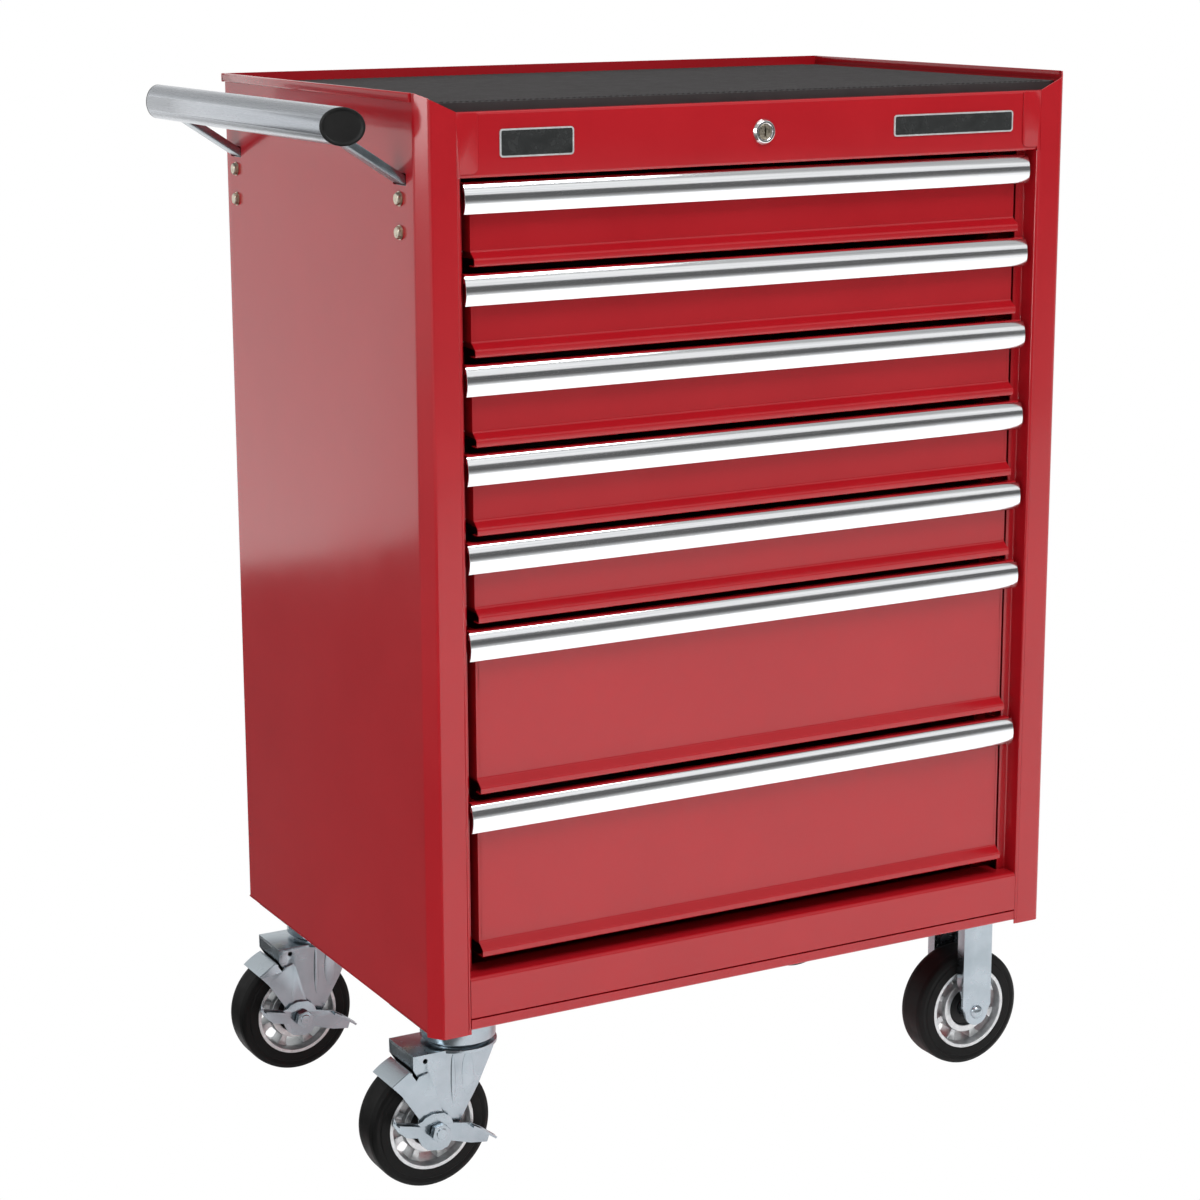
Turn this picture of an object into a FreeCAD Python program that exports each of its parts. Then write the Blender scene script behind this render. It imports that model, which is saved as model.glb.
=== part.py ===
"""Roller cabinet for tools: seven drawers, a push handle at one end and four castors."""
import FreeCAD, Part
import math
import os
from FreeCAD import Placement, Rotation, Vector

doc = FreeCAD.newDocument("RollingToolBox")
sheet = doc.addObject("Spreadsheet::Sheet", "Sizes")

# Every driving size, in millimetres unless the note says otherwise.
SIZES = [
    ("cabinet_width", 675.0, "over the flat sides"),
    ("cabinet_depth", 438.0, "front of the stiles to the back"),
    ("body_height", 834.6, "bottom of the stiles to the top of the rim"),
    ("floor_gap", 162.0, "floor to the bottom of the stiles"),
    ("gauge", 1.2, "sheet steel of the cabinet"),
    ("drawer_gauge", 1.0, "sheet steel of the drawers"),
    ("stile_width", 37.3, "front face of a stile, measured from the side"),
    ("corner_x", 9.65, "flat across the front corner, sideways"),
    ("corner_y", 12.9, "flat across the front corner, front to back"),
    ("stile_return", 18.4, "depth of the stile's inner return"),
    ("stile_flange", 9.5, "width of the stile's rear flange"),
    ("back_flange", 16.0, "side panel's turn at the back"),
    ("side_lift", 5.0, "side panel's bottom edge above the stile's"),
    ("tab_width", 17.0, "stile's tab over the header"),
    ("tab_drop", 3.5, "header showing under the tab"),
    ("shoulder_drop", 5.0, "fall of the rim over the front corner"),
    ("deck_drop", 16.6, "header top below the rim"),
    ("header_depth", 22.0, "header's lower flange, front to back"),
    ("header_top", 12.0, "header's upper flange, front to back"),
    ("opening_drop", 71.8, "top of the drawer opening below the rim"),
    ("hem_height", 8.0, "rolled hem round the rim"),
    ("hem_proud", 2.0, "hem standing out from the panel"),
    ("mat_thickness", 9.5, "ribbed rubber mat"),
    ("rail_top", 53.0, "top of the lower front rail above the stile bottom"),
    ("rail_bottom", 13.6, "bottom of the lower front rail"),
    ("base_bottom", 3.4, "underside of the base above the stile bottom"),
    ("lip_set_back", 0.4, "rail and base lip behind the stile face"),
    ("seat_gap", 0.1, "gap where one panel sits inside another"),
    ("upright_front", 62.0, "front upright behind the stile face"),
    ("upright_back", 372.0, "back upright behind the stile face"),
    ("upright_depth", 20.0, "upright's flange"),
    ("channel_width", 102.0, "stiffening channel over the castors"),
    ("channel_height", 20.0, "wall of the stiffening channel"),
    ("rail_shelf", 34.0, "back edge of the front rail's top behind the stile face"),
    ("slide_inset", 46.0, "slide's fixed face from the cabinet side"),
    ("slide_width", 12.7, "ball-bearing slide across both members"),
    ("slide_height", 35.0, "fixed member of a slide"),
    ("slide_gauge", 1.5, "steel of a slide member"),
    ("slide_reach", 10.0, "flange of a slide member"),
    ("ball_gap", 2.2, "room for the balls above and below"),
    ("slide_length", 388.0, "both members of a slide"),
    ("slide_start", 36.0, "front of the slides behind the stile face"),
    ("slide_lift", 27.5, "centre of a slide above its drawer's lower edge"),
    ("front_inset", 52.5, "drawer front's edge from the cabinet side"),
    ("hood_inset", 44.5, "top of a drawer front from the cabinet side"),
    ("trim_inset", 42.7, "trim's end from the cabinet side"),
    ("first_trim_drop", 77.0, "top of the first trim below the rim"),
    ("shallow_pitch", 77.9, "step from one shallow drawer to the next"),
    ("deep_pitch", 157.0, "step from the first deep drawer to the second"),
    ("shallow_gap", 7.4, "lower edge of a shallow drawer above the next trim"),
    ("deep_gap", 9.0, "lower edge of the first deep drawer above the next trim"),
    ("last_gap", 15.1, "lower edge of the lowest drawer above the front rail"),
    ("end_return", 34.0, "drawer front's folded ends, back edge behind the stile face"),
    ("face_back", 14.0, "drawer face behind the stile face"),
    ("lip_back", 6.0, "drawer's stepped lower edge behind the stile face"),
    ("step_height", 6.0, "straight part of the stepped lower edge"),
    ("step_rise", 6.0, "sloping part above it"),
    ("hood_back", 8.0, "front of the folded top behind the stile face"),
    ("hood_lip", 5.0, "down-turned lip of the folded top"),
    ("tray_back", 425.0, "back of the drawers behind the stile face"),
    ("tray_lift", 4.0, "drawer bottom above the lower edge"),
    ("tray_drop", 10.0, "top of the drawer sides below the trim top"),
    ("trim_height", 25.6, "aluminium trim"),
    ("trim_wall", 1.4, "wall of the trim"),
    ("trim_top_back", 6.5, "top of the trim's curve behind the stile face"),
    ("trim_low_back", 5.5, "foot of the trim's curve behind the stile face"),
    ("trim_radius", 25.0, "curve of the trim's face"),
    ("lock_drop", 43.6, "lock centre below the rim"),
    ("lock_radius", 9.5, "barrel of the lock housing"),
    ("bezel_radius", 11.5, "bezel of the lock"),
    ("bezel_thickness", 3.0, "bezel of the lock"),
    ("lock_length", 23.0, "lock housing behind the header face"),
    ("plug_radius", 6.5, "turning plug of the lock"),
    ("running_gap", 0.05, "radial clearance of a turning fit"),
    ("cam_length", 23.0, "lock cam from the plug's centre"),
    ("plate_thickness", 1.0, "blank name plates"),
    ("tube_radius", 16.0, "push handle tube"),
    ("tube_wall", 1.5, "push handle tube"),
    ("tube_reach", 65.0, "tube centre outside the cabinet side"),
    ("tube_drop", 25.1, "tube centre below the rim"),
    ("tube_half", 218.5, "half of the tube's length along its centre"),
    ("tube_slant", 0.65, "slope of the tube's cut ends, as a ratio"),
    ("cap_thickness", 2.0, "plastic end cap, along the tube"),
    ("handle_middle", 227.0, "middle of the handle behind the stile face"),
    ("bracket_spread", 372.0, "distance between the two brackets"),
    ("bracket_width", 25.0, "steel strip of a bracket"),
    ("bracket_thickness", 4.0, "steel strip of a bracket"),
    ("bracket_foot_drop", 130.6, "lower end of a bracket below the rim"),
    ("bracket_bend_drop", 77.6, "bend of a bracket below the rim"),
    ("bracket_rise", 39.5, "rise of a bracket's slanting arm"),
    ("bracket_run", 60.0, "sideways run of a bracket's slanting arm"),
    ("slot_gap", 0.4, "clearance round a bracket in its slot"),
    ("bolt_low_drop", 118.1, "lower handle bolt below the rim"),
    ("bolt_high_drop", 89.6, "upper handle bolt below the rim"),
    ("bolt_radius", 3.0, "handle bolt shank"),
    ("bolt_head", 5.8, "handle bolt head over its corners, radius"),
    ("bolt_head_height", 4.2, "handle bolt head"),
    ("hole_gap", 0.3, "radial clearance of a bolt hole"),
    ("swivel_inset", 55.0, "swivel axis from the left side"),
    ("rigid_inset", 54.0, "rigid castor's axle from the right side"),
    ("castor_front", 66.0, "front castors behind the stile face"),
    ("castor_back", 382.0, "back castors behind the stile face"),
    ("plate_x", 105.0, "castor plate, sideways"),
    ("plate_y", 85.0, "castor plate, front to back"),
    ("plate_z", 3.0, "castor plate thickness"),
    ("pattern_x", 80.0, "castor bolt pattern, sideways"),
    ("pattern_y", 60.0, "castor bolt pattern, front to back"),
    ("stud_radius", 4.0, "castor mounting bolts"),
    ("wheel_radius", 60.0, "tyre"),
    ("tyre_width", 35.0, "tyre"),
    ("rim_radius", 42.5, "tyre seat on the rim"),
    ("rim_ring", 4.0, "outer ring of the rim"),
    ("hub_ring", 27.0, "hub ring, outer radius"),
    ("hub_inner", 20.0, "hub ring, inner radius"),
    ("hub_half", 21.0, "half of the hub's length"),
    ("web_half", 5.0, "half of the spokes' thickness"),
    ("window_count", 8.0, "windows between the spokes"),
    ("window_angle", 26.0, "width of a window, degrees"),
    ("axle_radius", 5.0, "castor axle"),
    ("trail", 36.0, "swivel axis to the axle"),
    ("race_radius", 35.0, "swivel race"),
    ("race_height", 28.0, "swivel race under the plate"),
    ("fork_gauge", 3.0, "pressed steel of the forks"),
    ("fork_half", 26.0, "half width over the swivel fork"),
    ("rigid_half", 31.0, "half width over the rigid fork"),
    ("rigid_leg", 34.0, "width of a rigid fork leg"),
    ("shoe_gap", 2.5, "brake shoe off the tyre"),
    ("shoe_gauge", 2.0, "pressed steel of the brake"),
]


class Dim:
    """A length that knows its value and the sheet expression it comes from."""

    def __init__(self, value, text):
        self.value = float(value)
        self.text = text

    def __add__(self, other):
        other = dim(other)
        return Dim(self.value + other.value, f"({self.text} + {other.text})")

    def __sub__(self, other):
        other = dim(other)
        return Dim(self.value - other.value, f"({self.text} - {other.text})")

    def __mul__(self, other):
        other = dim(other)
        return Dim(self.value * other.value, f"({self.text} * {other.text})")

    def __truediv__(self, other):
        other = dim(other)
        return Dim(self.value / other.value, f"({self.text} / {other.text})")

    def __radd__(self, other):
        return dim(other) + self

    def __rsub__(self, other):
        return dim(other) - self

    def __rmul__(self, other):
        return dim(other) * self

    def __neg__(self):
        return Dim(-self.value, f"(-1 * {self.text})")

    def __float__(self):
        return self.value


def dim(number):
    """Take a plain number or a Dim."""
    if isinstance(number, Dim):
        return number
    return Dim(number, repr(float(number)))


for row, (alias, value, note) in enumerate(SIZES, start=1):
    sheet.set(f"A{row}", note)
    sheet.set(f"B{row}", str(value))
    sheet.setAlias(f"B{row}", alias)
doc.recompute()


def size(alias):
    """A size of the sheet."""
    return Dim(sheet.get(alias), f"Sizes.{alias}")


W = size("cabinet_width")
D = size("cabinet_depth")
H = size("body_height")
Z0 = size("floor_gap")
G = size("gauge")
# The bounding box runs from the handle's outside to the right-hand hem.
MIDDLE_X = (W + size("hem_proud") - size("tube_reach") - size("tube_radius")) / 2
MIDDLE_Y = size("handle_middle")

PARTS = []
POCKETS = []


def bind(obj, prop, length):
    """Bind a property of an object to the sheet."""
    obj.setExpression(prop, dim(length).text)


def put(obj, x=0.0, y=0.0, z=0.0):
    """Place an object by its spot in the cabinet, x from the left side and z from the floor."""
    bind(obj, "Placement.Base.x", dim(x) - MIDDLE_X)
    bind(obj, "Placement.Base.y", dim(y) - MIDDLE_Y)
    bind(obj, "Placement.Base.z", dim(z))


def new_body(label, x=0.0, y=0.0, z=0.0):
    """An empty body that becomes one sub-part."""
    body = doc.addObject("PartDesign::Body", label)
    body.Label = label
    if hasattr(body, "AllowCompound"):
        body.AllowCompound = True
    put(body, x, y, z)
    PARTS.append(body)
    return body


def origin_feature(body, role):
    """The body's own origin plane or axis."""
    for feature in body.Origin.OriginFeatures:
        if feature.Role == role:
            return feature
    raise ValueError(role)


def new_sketch(body, plane, start):
    """A sketch parallel to an origin plane; start is its distance along the third axis."""
    sketch = body.newObject("Sketcher::SketchObject", "Sketch")
    sketch.AttachmentSupport = [(origin_feature(body, plane), "")]
    sketch.MapMode = "FlatFace"
    # The XZ plane's normal points along -Y.
    distance = -dim(start) if plane == "XZ_Plane" else dim(start)
    bind(sketch, "AttachmentOffset.Base.z", distance)
    return sketch


def fix_point(sketch, geometry, vertex, point):
    """Hold a vertex at two sheet-driven coordinates."""
    for kind, length in zip(("DistanceX", "DistanceY"), point):
        length = dim(length)
        index = sketch.addConstraint(Sketcher.Constraint(kind, -1, 1, geometry, vertex, length.value))
        sketch.setExpression(f"Constraints[{index}]", length.text)


def draw_polygon(sketch, points):
    """A closed outline; a third entry in a point curves the edge that leaves it, by its radius."""
    corners = [Vector(float(p[0]), float(p[1]), 0) for p in points]
    ends = []
    for i, point in enumerate(points):
        a = corners[i]
        b = corners[(i + 1) % len(corners)]
        if len(point) == 3:
            radius = dim(point[2])
            chord = b - a
            half = chord.Length / 2
            side = Vector(-chord.y, chord.x, 0).normalize()
            rise = abs(radius.value) - math.sqrt(radius.value ** 2 - half ** 2)
            sign = 1 if radius.value > 0 else -1
            middle = (a + b) * 0.5 + side * (rise * sign)
            index = sketch.addGeometry(Part.Arc(a, middle, b), False)
            start = sketch.getPoint(index, 1)
            order = (1, 2) if (start - a).Length < (start - b).Length else (2, 1)
            bend = sketch.addConstraint(Sketcher.Constraint("Radius", index, abs(radius.value)))
            sketch.setExpression(f"Constraints[{bend}]", radius.text if sign > 0 else (-radius).text)
        else:
            index = sketch.addGeometry(Part.LineSegment(a, b), False)
            order = (1, 2)
        ends.append((index, order))
    for i, (index, order) in enumerate(ends):
        following, next_order = ends[(i + 1) % len(ends)]
        sketch.addConstraint(Sketcher.Constraint("Coincident", index, order[1], following, next_order[0]))
    for (index, order), point in zip(ends, points):
        fix_point(sketch, index, order[0], point[:2])


def draw_circles(sketch, circles):
    """Circles, each a centre's two coordinates and a radius."""
    for across, up, radius in circles:
        radius = dim(radius)
        centre = Vector(float(across), float(up), 0)
        index = sketch.addGeometry(Part.Circle(centre, Vector(0, 0, 1), radius.value), False)
        fix_point(sketch, index, 3, (across, up))
        ring = sketch.addConstraint(Sketcher.Constraint("Radius", index, radius.value))
        sketch.setExpression(f"Constraints[{ring}]", radius.text)


def extrude(body, plane, start, length, outline=None, circles=None, cut=False):
    """Pad or pocket an outline from start towards the positive third axis."""
    sketch = new_sketch(body, plane, start)
    if outline:
        draw_polygon(sketch, outline)
    if circles:
        draw_circles(sketch, circles)
    kind = "Pocket" if cut else "Pad"
    feature = body.newObject(f"PartDesign::{kind}", kind)
    feature.Profile = sketch
    bind(feature, "Length", length)
    feature.Reversed = (plane == "XZ_Plane") != cut
    if cut:
        POCKETS.append(feature)
    return feature


def box(x0, x1, y0, y1):
    """Four corners of an upright rectangle."""
    return [(x0, y0), (x1, y0), (x1, y1), (x0, y1)]


def revolve_y(body, outline):
    """Turn an outline of (along Y, radius) about the body's Y axis."""
    sketch = new_sketch(body, "YZ_Plane", 0.0)
    draw_polygon(sketch, outline)
    feature = body.newObject("PartDesign::Revolution", "Revolution")
    feature.Profile = sketch
    feature.ReferenceAxis = (sketch, ["H_Axis"])
    feature.Angle = 360.0
    return feature


def shape_part(label, shape, x=0.0, y=0.0, z=0.0):
    """A sub-part whose outline no sketch or primitive fits."""
    part = doc.addObject("Part::Feature", label)
    part.Label = label
    part.Shape = shape
    put(part, x, y, z)
    PARTS.append(part)
    return part


import Sketcher

# ---------------------------------------------------------------- side panels
stile = size("stile_width")
stile_return = size("stile_return")
flange = stile + size("stile_flange")
corner_x = size("corner_x")
corner_y = size("corner_y")
header_top = H - size("deck_drop")
opening_top = H - size("opening_drop")
bracket_ys = [MIDDLE_Y - size("bracket_spread") / 2, MIDDLE_Y + size("bracket_spread") / 2]


def side_panel(label, across):
    """One folded sheet: back flange, side, cut corner, stile, return and rear flange."""
    body = new_body(label, z=Z0)
    back = size("back_flange")
    outline = [
        (across(back), D),
        (across(dim(0)), D),
        (across(dim(0)), corner_y),
        (across(corner_x), dim(0)),
        (across(stile), dim(0)),
        (across(stile), stile_return),
        (across(flange), stile_return),
        (across(flange), stile_return + G),
        (across(stile - G), stile_return + G),
        (across(stile - G), G),
        (across(corner_x + G / 2), G),
        (across(G), corner_y + G / 2),
        (across(G), D - G),
        (across(back), D - G),
    ]
    extrude(body, "XY_Plane", 0.0, H, outline)
    # Tab over the header, its lower corner rounded by two short flats.
    tab = stile + size("tab_width")
    foot = opening_top + size("tab_drop")
    tab_outline = [
        (across(stile - G), foot),
        (across(tab - 5), foot),
        (across(tab - 1.5), foot + 1.5),
        (across(tab), foot + 5),
        (across(tab), header_top),
        (across(stile - G), header_top),
    ]
    extrude(body, "XZ_Plane", 0.0, G, tab_outline)
    # Rolled hem along the rim.
    hem = box(across(-size("hem_proud")), across(G / 2), H - size("hem_height"), H)
    extrude(body, "XZ_Plane", corner_y + 4, D - corner_y - 4, hem)
    # The rim falls over the front corner to the header's top edge.
    slope = [
        (across(corner_x), H - size("shoulder_drop")),
        (across(stile - 2), header_top),
        (across(tab + 5), header_top),
        (across(tab + 5), H + 5),
        (across(corner_x), H + 5),
    ]
    extrude(body, "XZ_Plane", -1.0, G + 3, slope, cut=True)
    # The return and rear flange stop under the header.
    top = box(across(stile - G - 1), across(flange + 1), G, stile_return + G + 1)
    extrude(body, "XY_Plane", opening_top, H - opening_top + 1, top, cut=True)
    # The flat side stops short of the base, and so do the return and rear flange.
    low = box(across(dim(-1)), across(back + 1), corner_y + G, D + 1)
    extrude(body, "XY_Plane", -1.0, size("side_lift") + 1, low, cut=True)
    low = box(across(stile - G - 1), across(flange + 1), G, stile_return + G + 1)
    extrude(body, "XY_Plane", -1.0, size("side_lift") + 1, low, cut=True)
    return body


right_side = side_panel("right_side_panel", lambda x: W - x)
left_side = side_panel("left_side_panel", lambda x: x + 0)
slot_gap = size("slot_gap")
half_strip = size("bracket_width") / 2 + slot_gap
arm_slope = size("bracket_rise") / size("bracket_run")
strip_up = size("bracket_thickness") * 1.2
bend_z = H - size("bracket_bend_drop")
slot_low = bend_z - slot_gap
slot_high = bend_z + strip_up + (G + size("bracket_thickness")) * arm_slope + slot_gap
bolt_hole = size("bolt_radius") + size("hole_gap")
bolt_heights = [H - size("bolt_low_drop"), H - size("bolt_high_drop")]
for middle in bracket_ys:
    slot = box(middle - half_strip, middle + half_strip, slot_low, slot_high)
    extrude(left_side, "YZ_Plane", -1.0, G + 2, slot, cut=True)
    holes = [(middle, height, bolt_hole) for height in bolt_heights]
    extrude(left_side, "YZ_Plane", -1.0, G + 2, circles=holes, cut=True)

# ---------------------------------------------------------------- back, header, deck, mat
seat = size("seat_gap")
proud = size("hem_proud")
hem_low = H - size("hem_height")
back = new_body("back_panel", z=Z0)
extrude(back, "XY_Plane", size("side_lift"), H - size("side_lift"),
        box(G + seat, W - G - seat, D - 2 * G, D - G))
extrude(back, "XY_Plane", hem_low, size("hem_height"),
        box(size("back_flange") + seat, W - size("back_flange") - seat, D - 2 * G, D + proud))
extrude(back, "XY_Plane", hem_low, size("hem_height"), box(-proud, W + proud, D, D + proud))

header = new_body("front_header", z=Z0)
header_inset = size("back_flange") - 2
header_outline = [
    (size("header_top"), header_top),
    (G, header_top),
    (G, opening_top),
    (size("header_depth"), opening_top),
    (size("header_depth"), opening_top + G),
    (2 * G, opening_top + G),
    (2 * G, header_top - G),
    (size("header_top"), header_top - G),
]
extrude(header, "YZ_Plane", header_inset, W - 2 * header_inset, header_outline)
lock_z = H - size("lock_drop")
extrude(header, "XZ_Plane", 0.0, 3 * G, circles=[(W / 2, lock_z, size("lock_radius") + seat)], cut=True)

deck = new_body("top_deck", z=Z0)
deck_edge = G + seat


def deck_outline(inset, front):
    """Rectangle inside the rim with its two front corners cut."""
    back_line = D - 2 * G - inset
    return [
        (size("back_flange"), front),
        (W - size("back_flange"), front),
        (W - G - inset, front + corner_y),
        (W - G - inset, back_line),
        (G + inset, back_line),
        (G + inset, front + corner_y),
    ]


extrude(deck, "XY_Plane", header_top - 2 * G, G, deck_outline(seat, 2 * G + seat))
mat = new_body("top_mat", z=Z0)
extrude(mat, "XY_Plane", header_top - G, size("mat_thickness"),
        deck_outline(seat * 4, size("header_top") + seat))

# ---------------------------------------------------------------- lower rail, base, stiffeners
lip = size("lip_set_back")
rail = new_body("lower_front_rail", z=Z0)
rail_top = size("rail_top")
rail_bottom = size("rail_bottom")
rail_outline = [
    (stile_return - 2 * seat, rail_top),
    (lip, rail_top),
    (lip, rail_bottom),
    (stile_return - 4, rail_bottom),
    (stile_return - 4, rail_bottom + G),
    (lip + G, rail_bottom + G),
    (lip + G, rail_top - G),
    (stile_return - 2 * seat, rail_top - G),
]
extrude(rail, "YZ_Plane", stile, W - 2 * stile, rail_outline)
shelf_inset = stile + 11
extrude(rail, "XY_Plane", rail_top - G, G,
        box(shelf_inset, W - shelf_inset, stile_return - 3 * seat, size("rail_shelf")))

base_low = size("base_bottom")
castor_ys = [size("castor_front"), size("castor_back")]
castor_xs = [size("swivel_inset"), W - size("rigid_inset")]
stud_spots = [
    (x + sx * size("pattern_x") / 2, y + sy * size("pattern_y") / 2)
    for x in castor_xs
    for y in castor_ys
    for sx in (-1, 1)
    for sy in (-1, 1)
]
stud_hole = size("stud_radius") + size("hole_gap")
stud_holes = [(x, y, stud_hole) for x, y in stud_spots]
base = new_body("base_panel", z=Z0)
base_front = corner_y + 2 * G
base_outline = [
    (stile + 2 * seat, lip),
    (W - stile - 2 * seat, lip),
    (W - stile - 2 * seat, 2 * G),
    (W - corner_x - 6, 2 * G),
    (W - 2 * G, base_front),
    (W, base_front),
    (W, D),
    (dim(0), D),
    (dim(0), base_front),
    (2 * G, base_front),
    (corner_x + 6, 2 * G),
    (stile + 2 * seat, 2 * G),
]
extrude(base, "XY_Plane", base_low, G, base_outline)
extrude(base, "XY_Plane", base_low, rail_bottom - base_low - 3 * seat,
        box(stile + 2 * seat, W - stile - 2 * seat, lip, lip + G))
for x in (G + seat, W - 2 * G - seat):
    extrude(base, "XY_Plane", base_low, size("channel_height"), box(x, x + G, 25.0, D - 10))
extrude(base, "XY_Plane", base_low - 1, G + 2, circles=stud_holes, cut=True)

channels = new_body("base_channels", z=Z0)
channel_half = size("channel_width") / 2
channel_floor = base_low + G
channel_wall = channel_floor + size("channel_height")
for x in castor_xs:
    wall = 2 * size("drawer_gauge")
    outline = [
        (x - channel_half, channel_floor),
        (x + channel_half, channel_floor),
        (x + channel_half, channel_wall),
        (x + channel_half - wall, channel_wall),
        (x + channel_half - wall, channel_floor + wall),
        (x - channel_half + wall, channel_floor + wall),
        (x - channel_half + wall, channel_wall),
        (x - channel_half, channel_wall),
    ]
    extrude(channels, "XZ_Plane", 24.0, D - 36, outline)
extrude(channels, "XY_Plane", channel_floor - 1, wall + 2, circles=stud_holes, cut=True)

uprights = new_body("slide_uprights", z=Z0)
slide_inset = size("slide_inset")
upright_low = channel_wall + 4
for across in (lambda x: x + 0, lambda x: W - x):
    for y in (size("upright_front"), size("upright_back")):
        deep = y + size("upright_depth")
        outline = [
            (across(G), y),
            (across(slide_inset), y),
            (across(slide_inset), deep),
            (across(slide_inset - G), deep),
            (across(slide_inset - G), y + G),
            (across(2 * G), y + G),
            (across(2 * G), deep),
            (across(G), deep),
        ]
        extrude(uprights, "XY_Plane", upright_low, opening_top - upright_low - 4, outline)

# ---------------------------------------------------------------- drawers
trim_tops = [H - size("first_trim_drop") - i * size("shallow_pitch") for i in range(6)]
trim_tops.append(trim_tops[5] - size("deep_pitch"))
fronts = [size("shallow_pitch") - size("shallow_gap")] * 5
fronts.append(size("deep_pitch") - size("deep_gap"))
fronts.append(trim_tops[6] - rail_top - size("last_gap"))
lower_edges = [top - front for top, front in zip(trim_tops, fronts)]
slide_gauge = size("slide_gauge")
slide_half = size("slide_height") / 2
mover_half = slide_half - slide_gauge - size("ball_gap")


def channel(outer, inner, web, middle, half):
    """C section: its web at outer, its flanges reaching to inner."""
    return [
        (outer, middle - half),
        (inner, middle - half),
        (inner, middle - half + slide_gauge),
        (web, middle - half + slide_gauge),
        (web, middle + half - slide_gauge),
        (inner, middle + half - slide_gauge),
        (inner, middle + half),
        (outer, middle + half),
    ]


fixed_rails = new_body("cabinet_slide_rails", z=Z0)
for low in lower_edges:
    middle = low + size("slide_lift")
    reach = slide_inset + size("slide_reach")
    for across in (lambda x: x + 0, lambda x: W - x):
        section = channel(across(slide_inset), across(reach), across(slide_inset + slide_gauge),
                          middle, slide_half)
        extrude(fixed_rails, "XZ_Plane", size("slide_start"), size("slide_length"), section)

tray_side = slide_inset + size("slide_width")
thin = size("drawer_gauge")


def drawer(number, top, low):
    """Folded drawer: stepped front with a turned-over top, and an open tray behind it."""
    body = new_body(f"drawer_{number}", z=Z0)
    face = size("face_back")
    hood = size("hood_back")
    toe = size("lip_back")
    step = low + size("step_height")
    bend = step + size("step_rise")
    front_inset = size("front_inset")
    outline = [
        (face, top),
        (face, bend),
        (toe, step),
        (toe, low),
        (face + 2, low),
        (face + 2, low + thin),
        (toe + thin, low + thin),
        (toe + thin, step - thin / 2),
        (face + thin, bend - thin / 2),
        (face + thin, top),
    ]
    extrude(body, "YZ_Plane", front_inset, W - 2 * front_inset, outline)
    hood_outline = [
        (face + thin, top),
        (face + thin, top + G),
        (hood, top + G),
        (hood, top - size("hood_lip")),
        (hood + G, top - size("hood_lip")),
        (hood + G, top),
    ]
    hood_inset = size("hood_inset")
    extrude(body, "YZ_Plane", hood_inset, W - 2 * hood_inset, hood_outline)
    for x in (front_inset, W - front_inset - thin):
        extrude(body, "XY_Plane", bend, top - bend, box(x, x + thin, face, size("end_return")))
    floor = low + size("tray_lift")
    height = top - size("tray_drop") - floor
    tray_end = size("tray_back")
    extrude(body, "XY_Plane", floor, height, box(tray_side, W - tray_side, face, tray_end))
    extrude(body, "XY_Plane", floor + thin, height,
            box(tray_side + thin, W - tray_side - thin, face + thin, tray_end - thin), cut=True)
    return body


def drawer_slides(number, low):
    """The two moving members of a drawer's slides."""
    body = new_body(f"drawer_{number}_slides", z=Z0)
    middle = low + size("slide_lift")
    reach = tray_side - size("slide_reach")
    for across in (lambda x: x + 0, lambda x: W - x):
        section = channel(across(tray_side), across(reach), across(tray_side - slide_gauge),
                          middle, mover_half)
        extrude(body, "XZ_Plane", size("slide_start"), size("slide_length"), section)
    return body


def drawer_trim(number, top):
    """Curved aluminium pull, its hollow side towards the drawer face."""
    body = new_body(f"drawer_{number}_trim", z=Z0)
    wall = size("trim_wall")
    foot = top - size("trim_height")
    hood = size("hood_back")
    radius = size("trim_radius")
    outline = [
        (hood, top),
        (size("trim_top_back"), top, -radius),
        (size("trim_low_back"), foot),
        (size("trim_low_back") + wall, foot + wall / 4, radius - wall),
        (hood - seat / 4, top - size("hood_lip") - wall),
        (hood, top - size("hood_lip") - wall),
    ]
    inset = size("trim_inset")
    extrude(body, "YZ_Plane", inset, W - 2 * inset, outline)
    return body


for number, (top, low) in enumerate(zip(trim_tops, lower_edges), start=1):
    drawer(number, top, low)
    drawer_trim(number, top)
    drawer_slides(number, low)

# ---------------------------------------------------------------- lock and name plates
housing = new_body("lock_housing", x=W / 2, z=Z0 + lock_z)
bezel = size("bezel_thickness")
bore = size("plug_radius") + size("running_gap")
revolve_y(housing, [
    (G - bezel, bore),
    (G - bezel, size("bezel_radius") - 1),
    (G - bezel + 1, size("bezel_radius")),
    (G, size("bezel_radius")),
    (G, size("lock_radius")),
    (G + size("lock_length"), size("lock_radius")),
    (G + size("lock_length"), bore),
])
plug = new_body("lock_cylinder", x=W / 2, z=Z0 + lock_z)
plug_front = G - bezel + 0.6
plug_back = G + size("lock_length") + 1
revolve_y(plug, [
    (plug_front, dim(0)),
    (plug_front, size("plug_radius")),
    (plug_back, size("plug_radius")),
    (plug_back, dim(0)),
])
cam = box(-5.0, 5.0, -size("cam_length"), size("plug_radius"))
extrude(plug, "XZ_Plane", plug_back, 2.0, cam)
extrude(plug, "XZ_Plane", plug_front - 1, 9.0, box(-0.6, 0.6, -3.5, 3.5), cut=True)

plates = new_body("name_plates", z=Z0)
for x, length, height in ((dim(75.0), 71.0, 24.0), (W - 199.0, 133.0, 19.5)):
    outline = box(x, x + length, lock_z - height / 2, lock_z + height / 2)
    extrude(plates, "XZ_Plane", G - size("plate_thickness"), size("plate_thickness"), outline)

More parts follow.
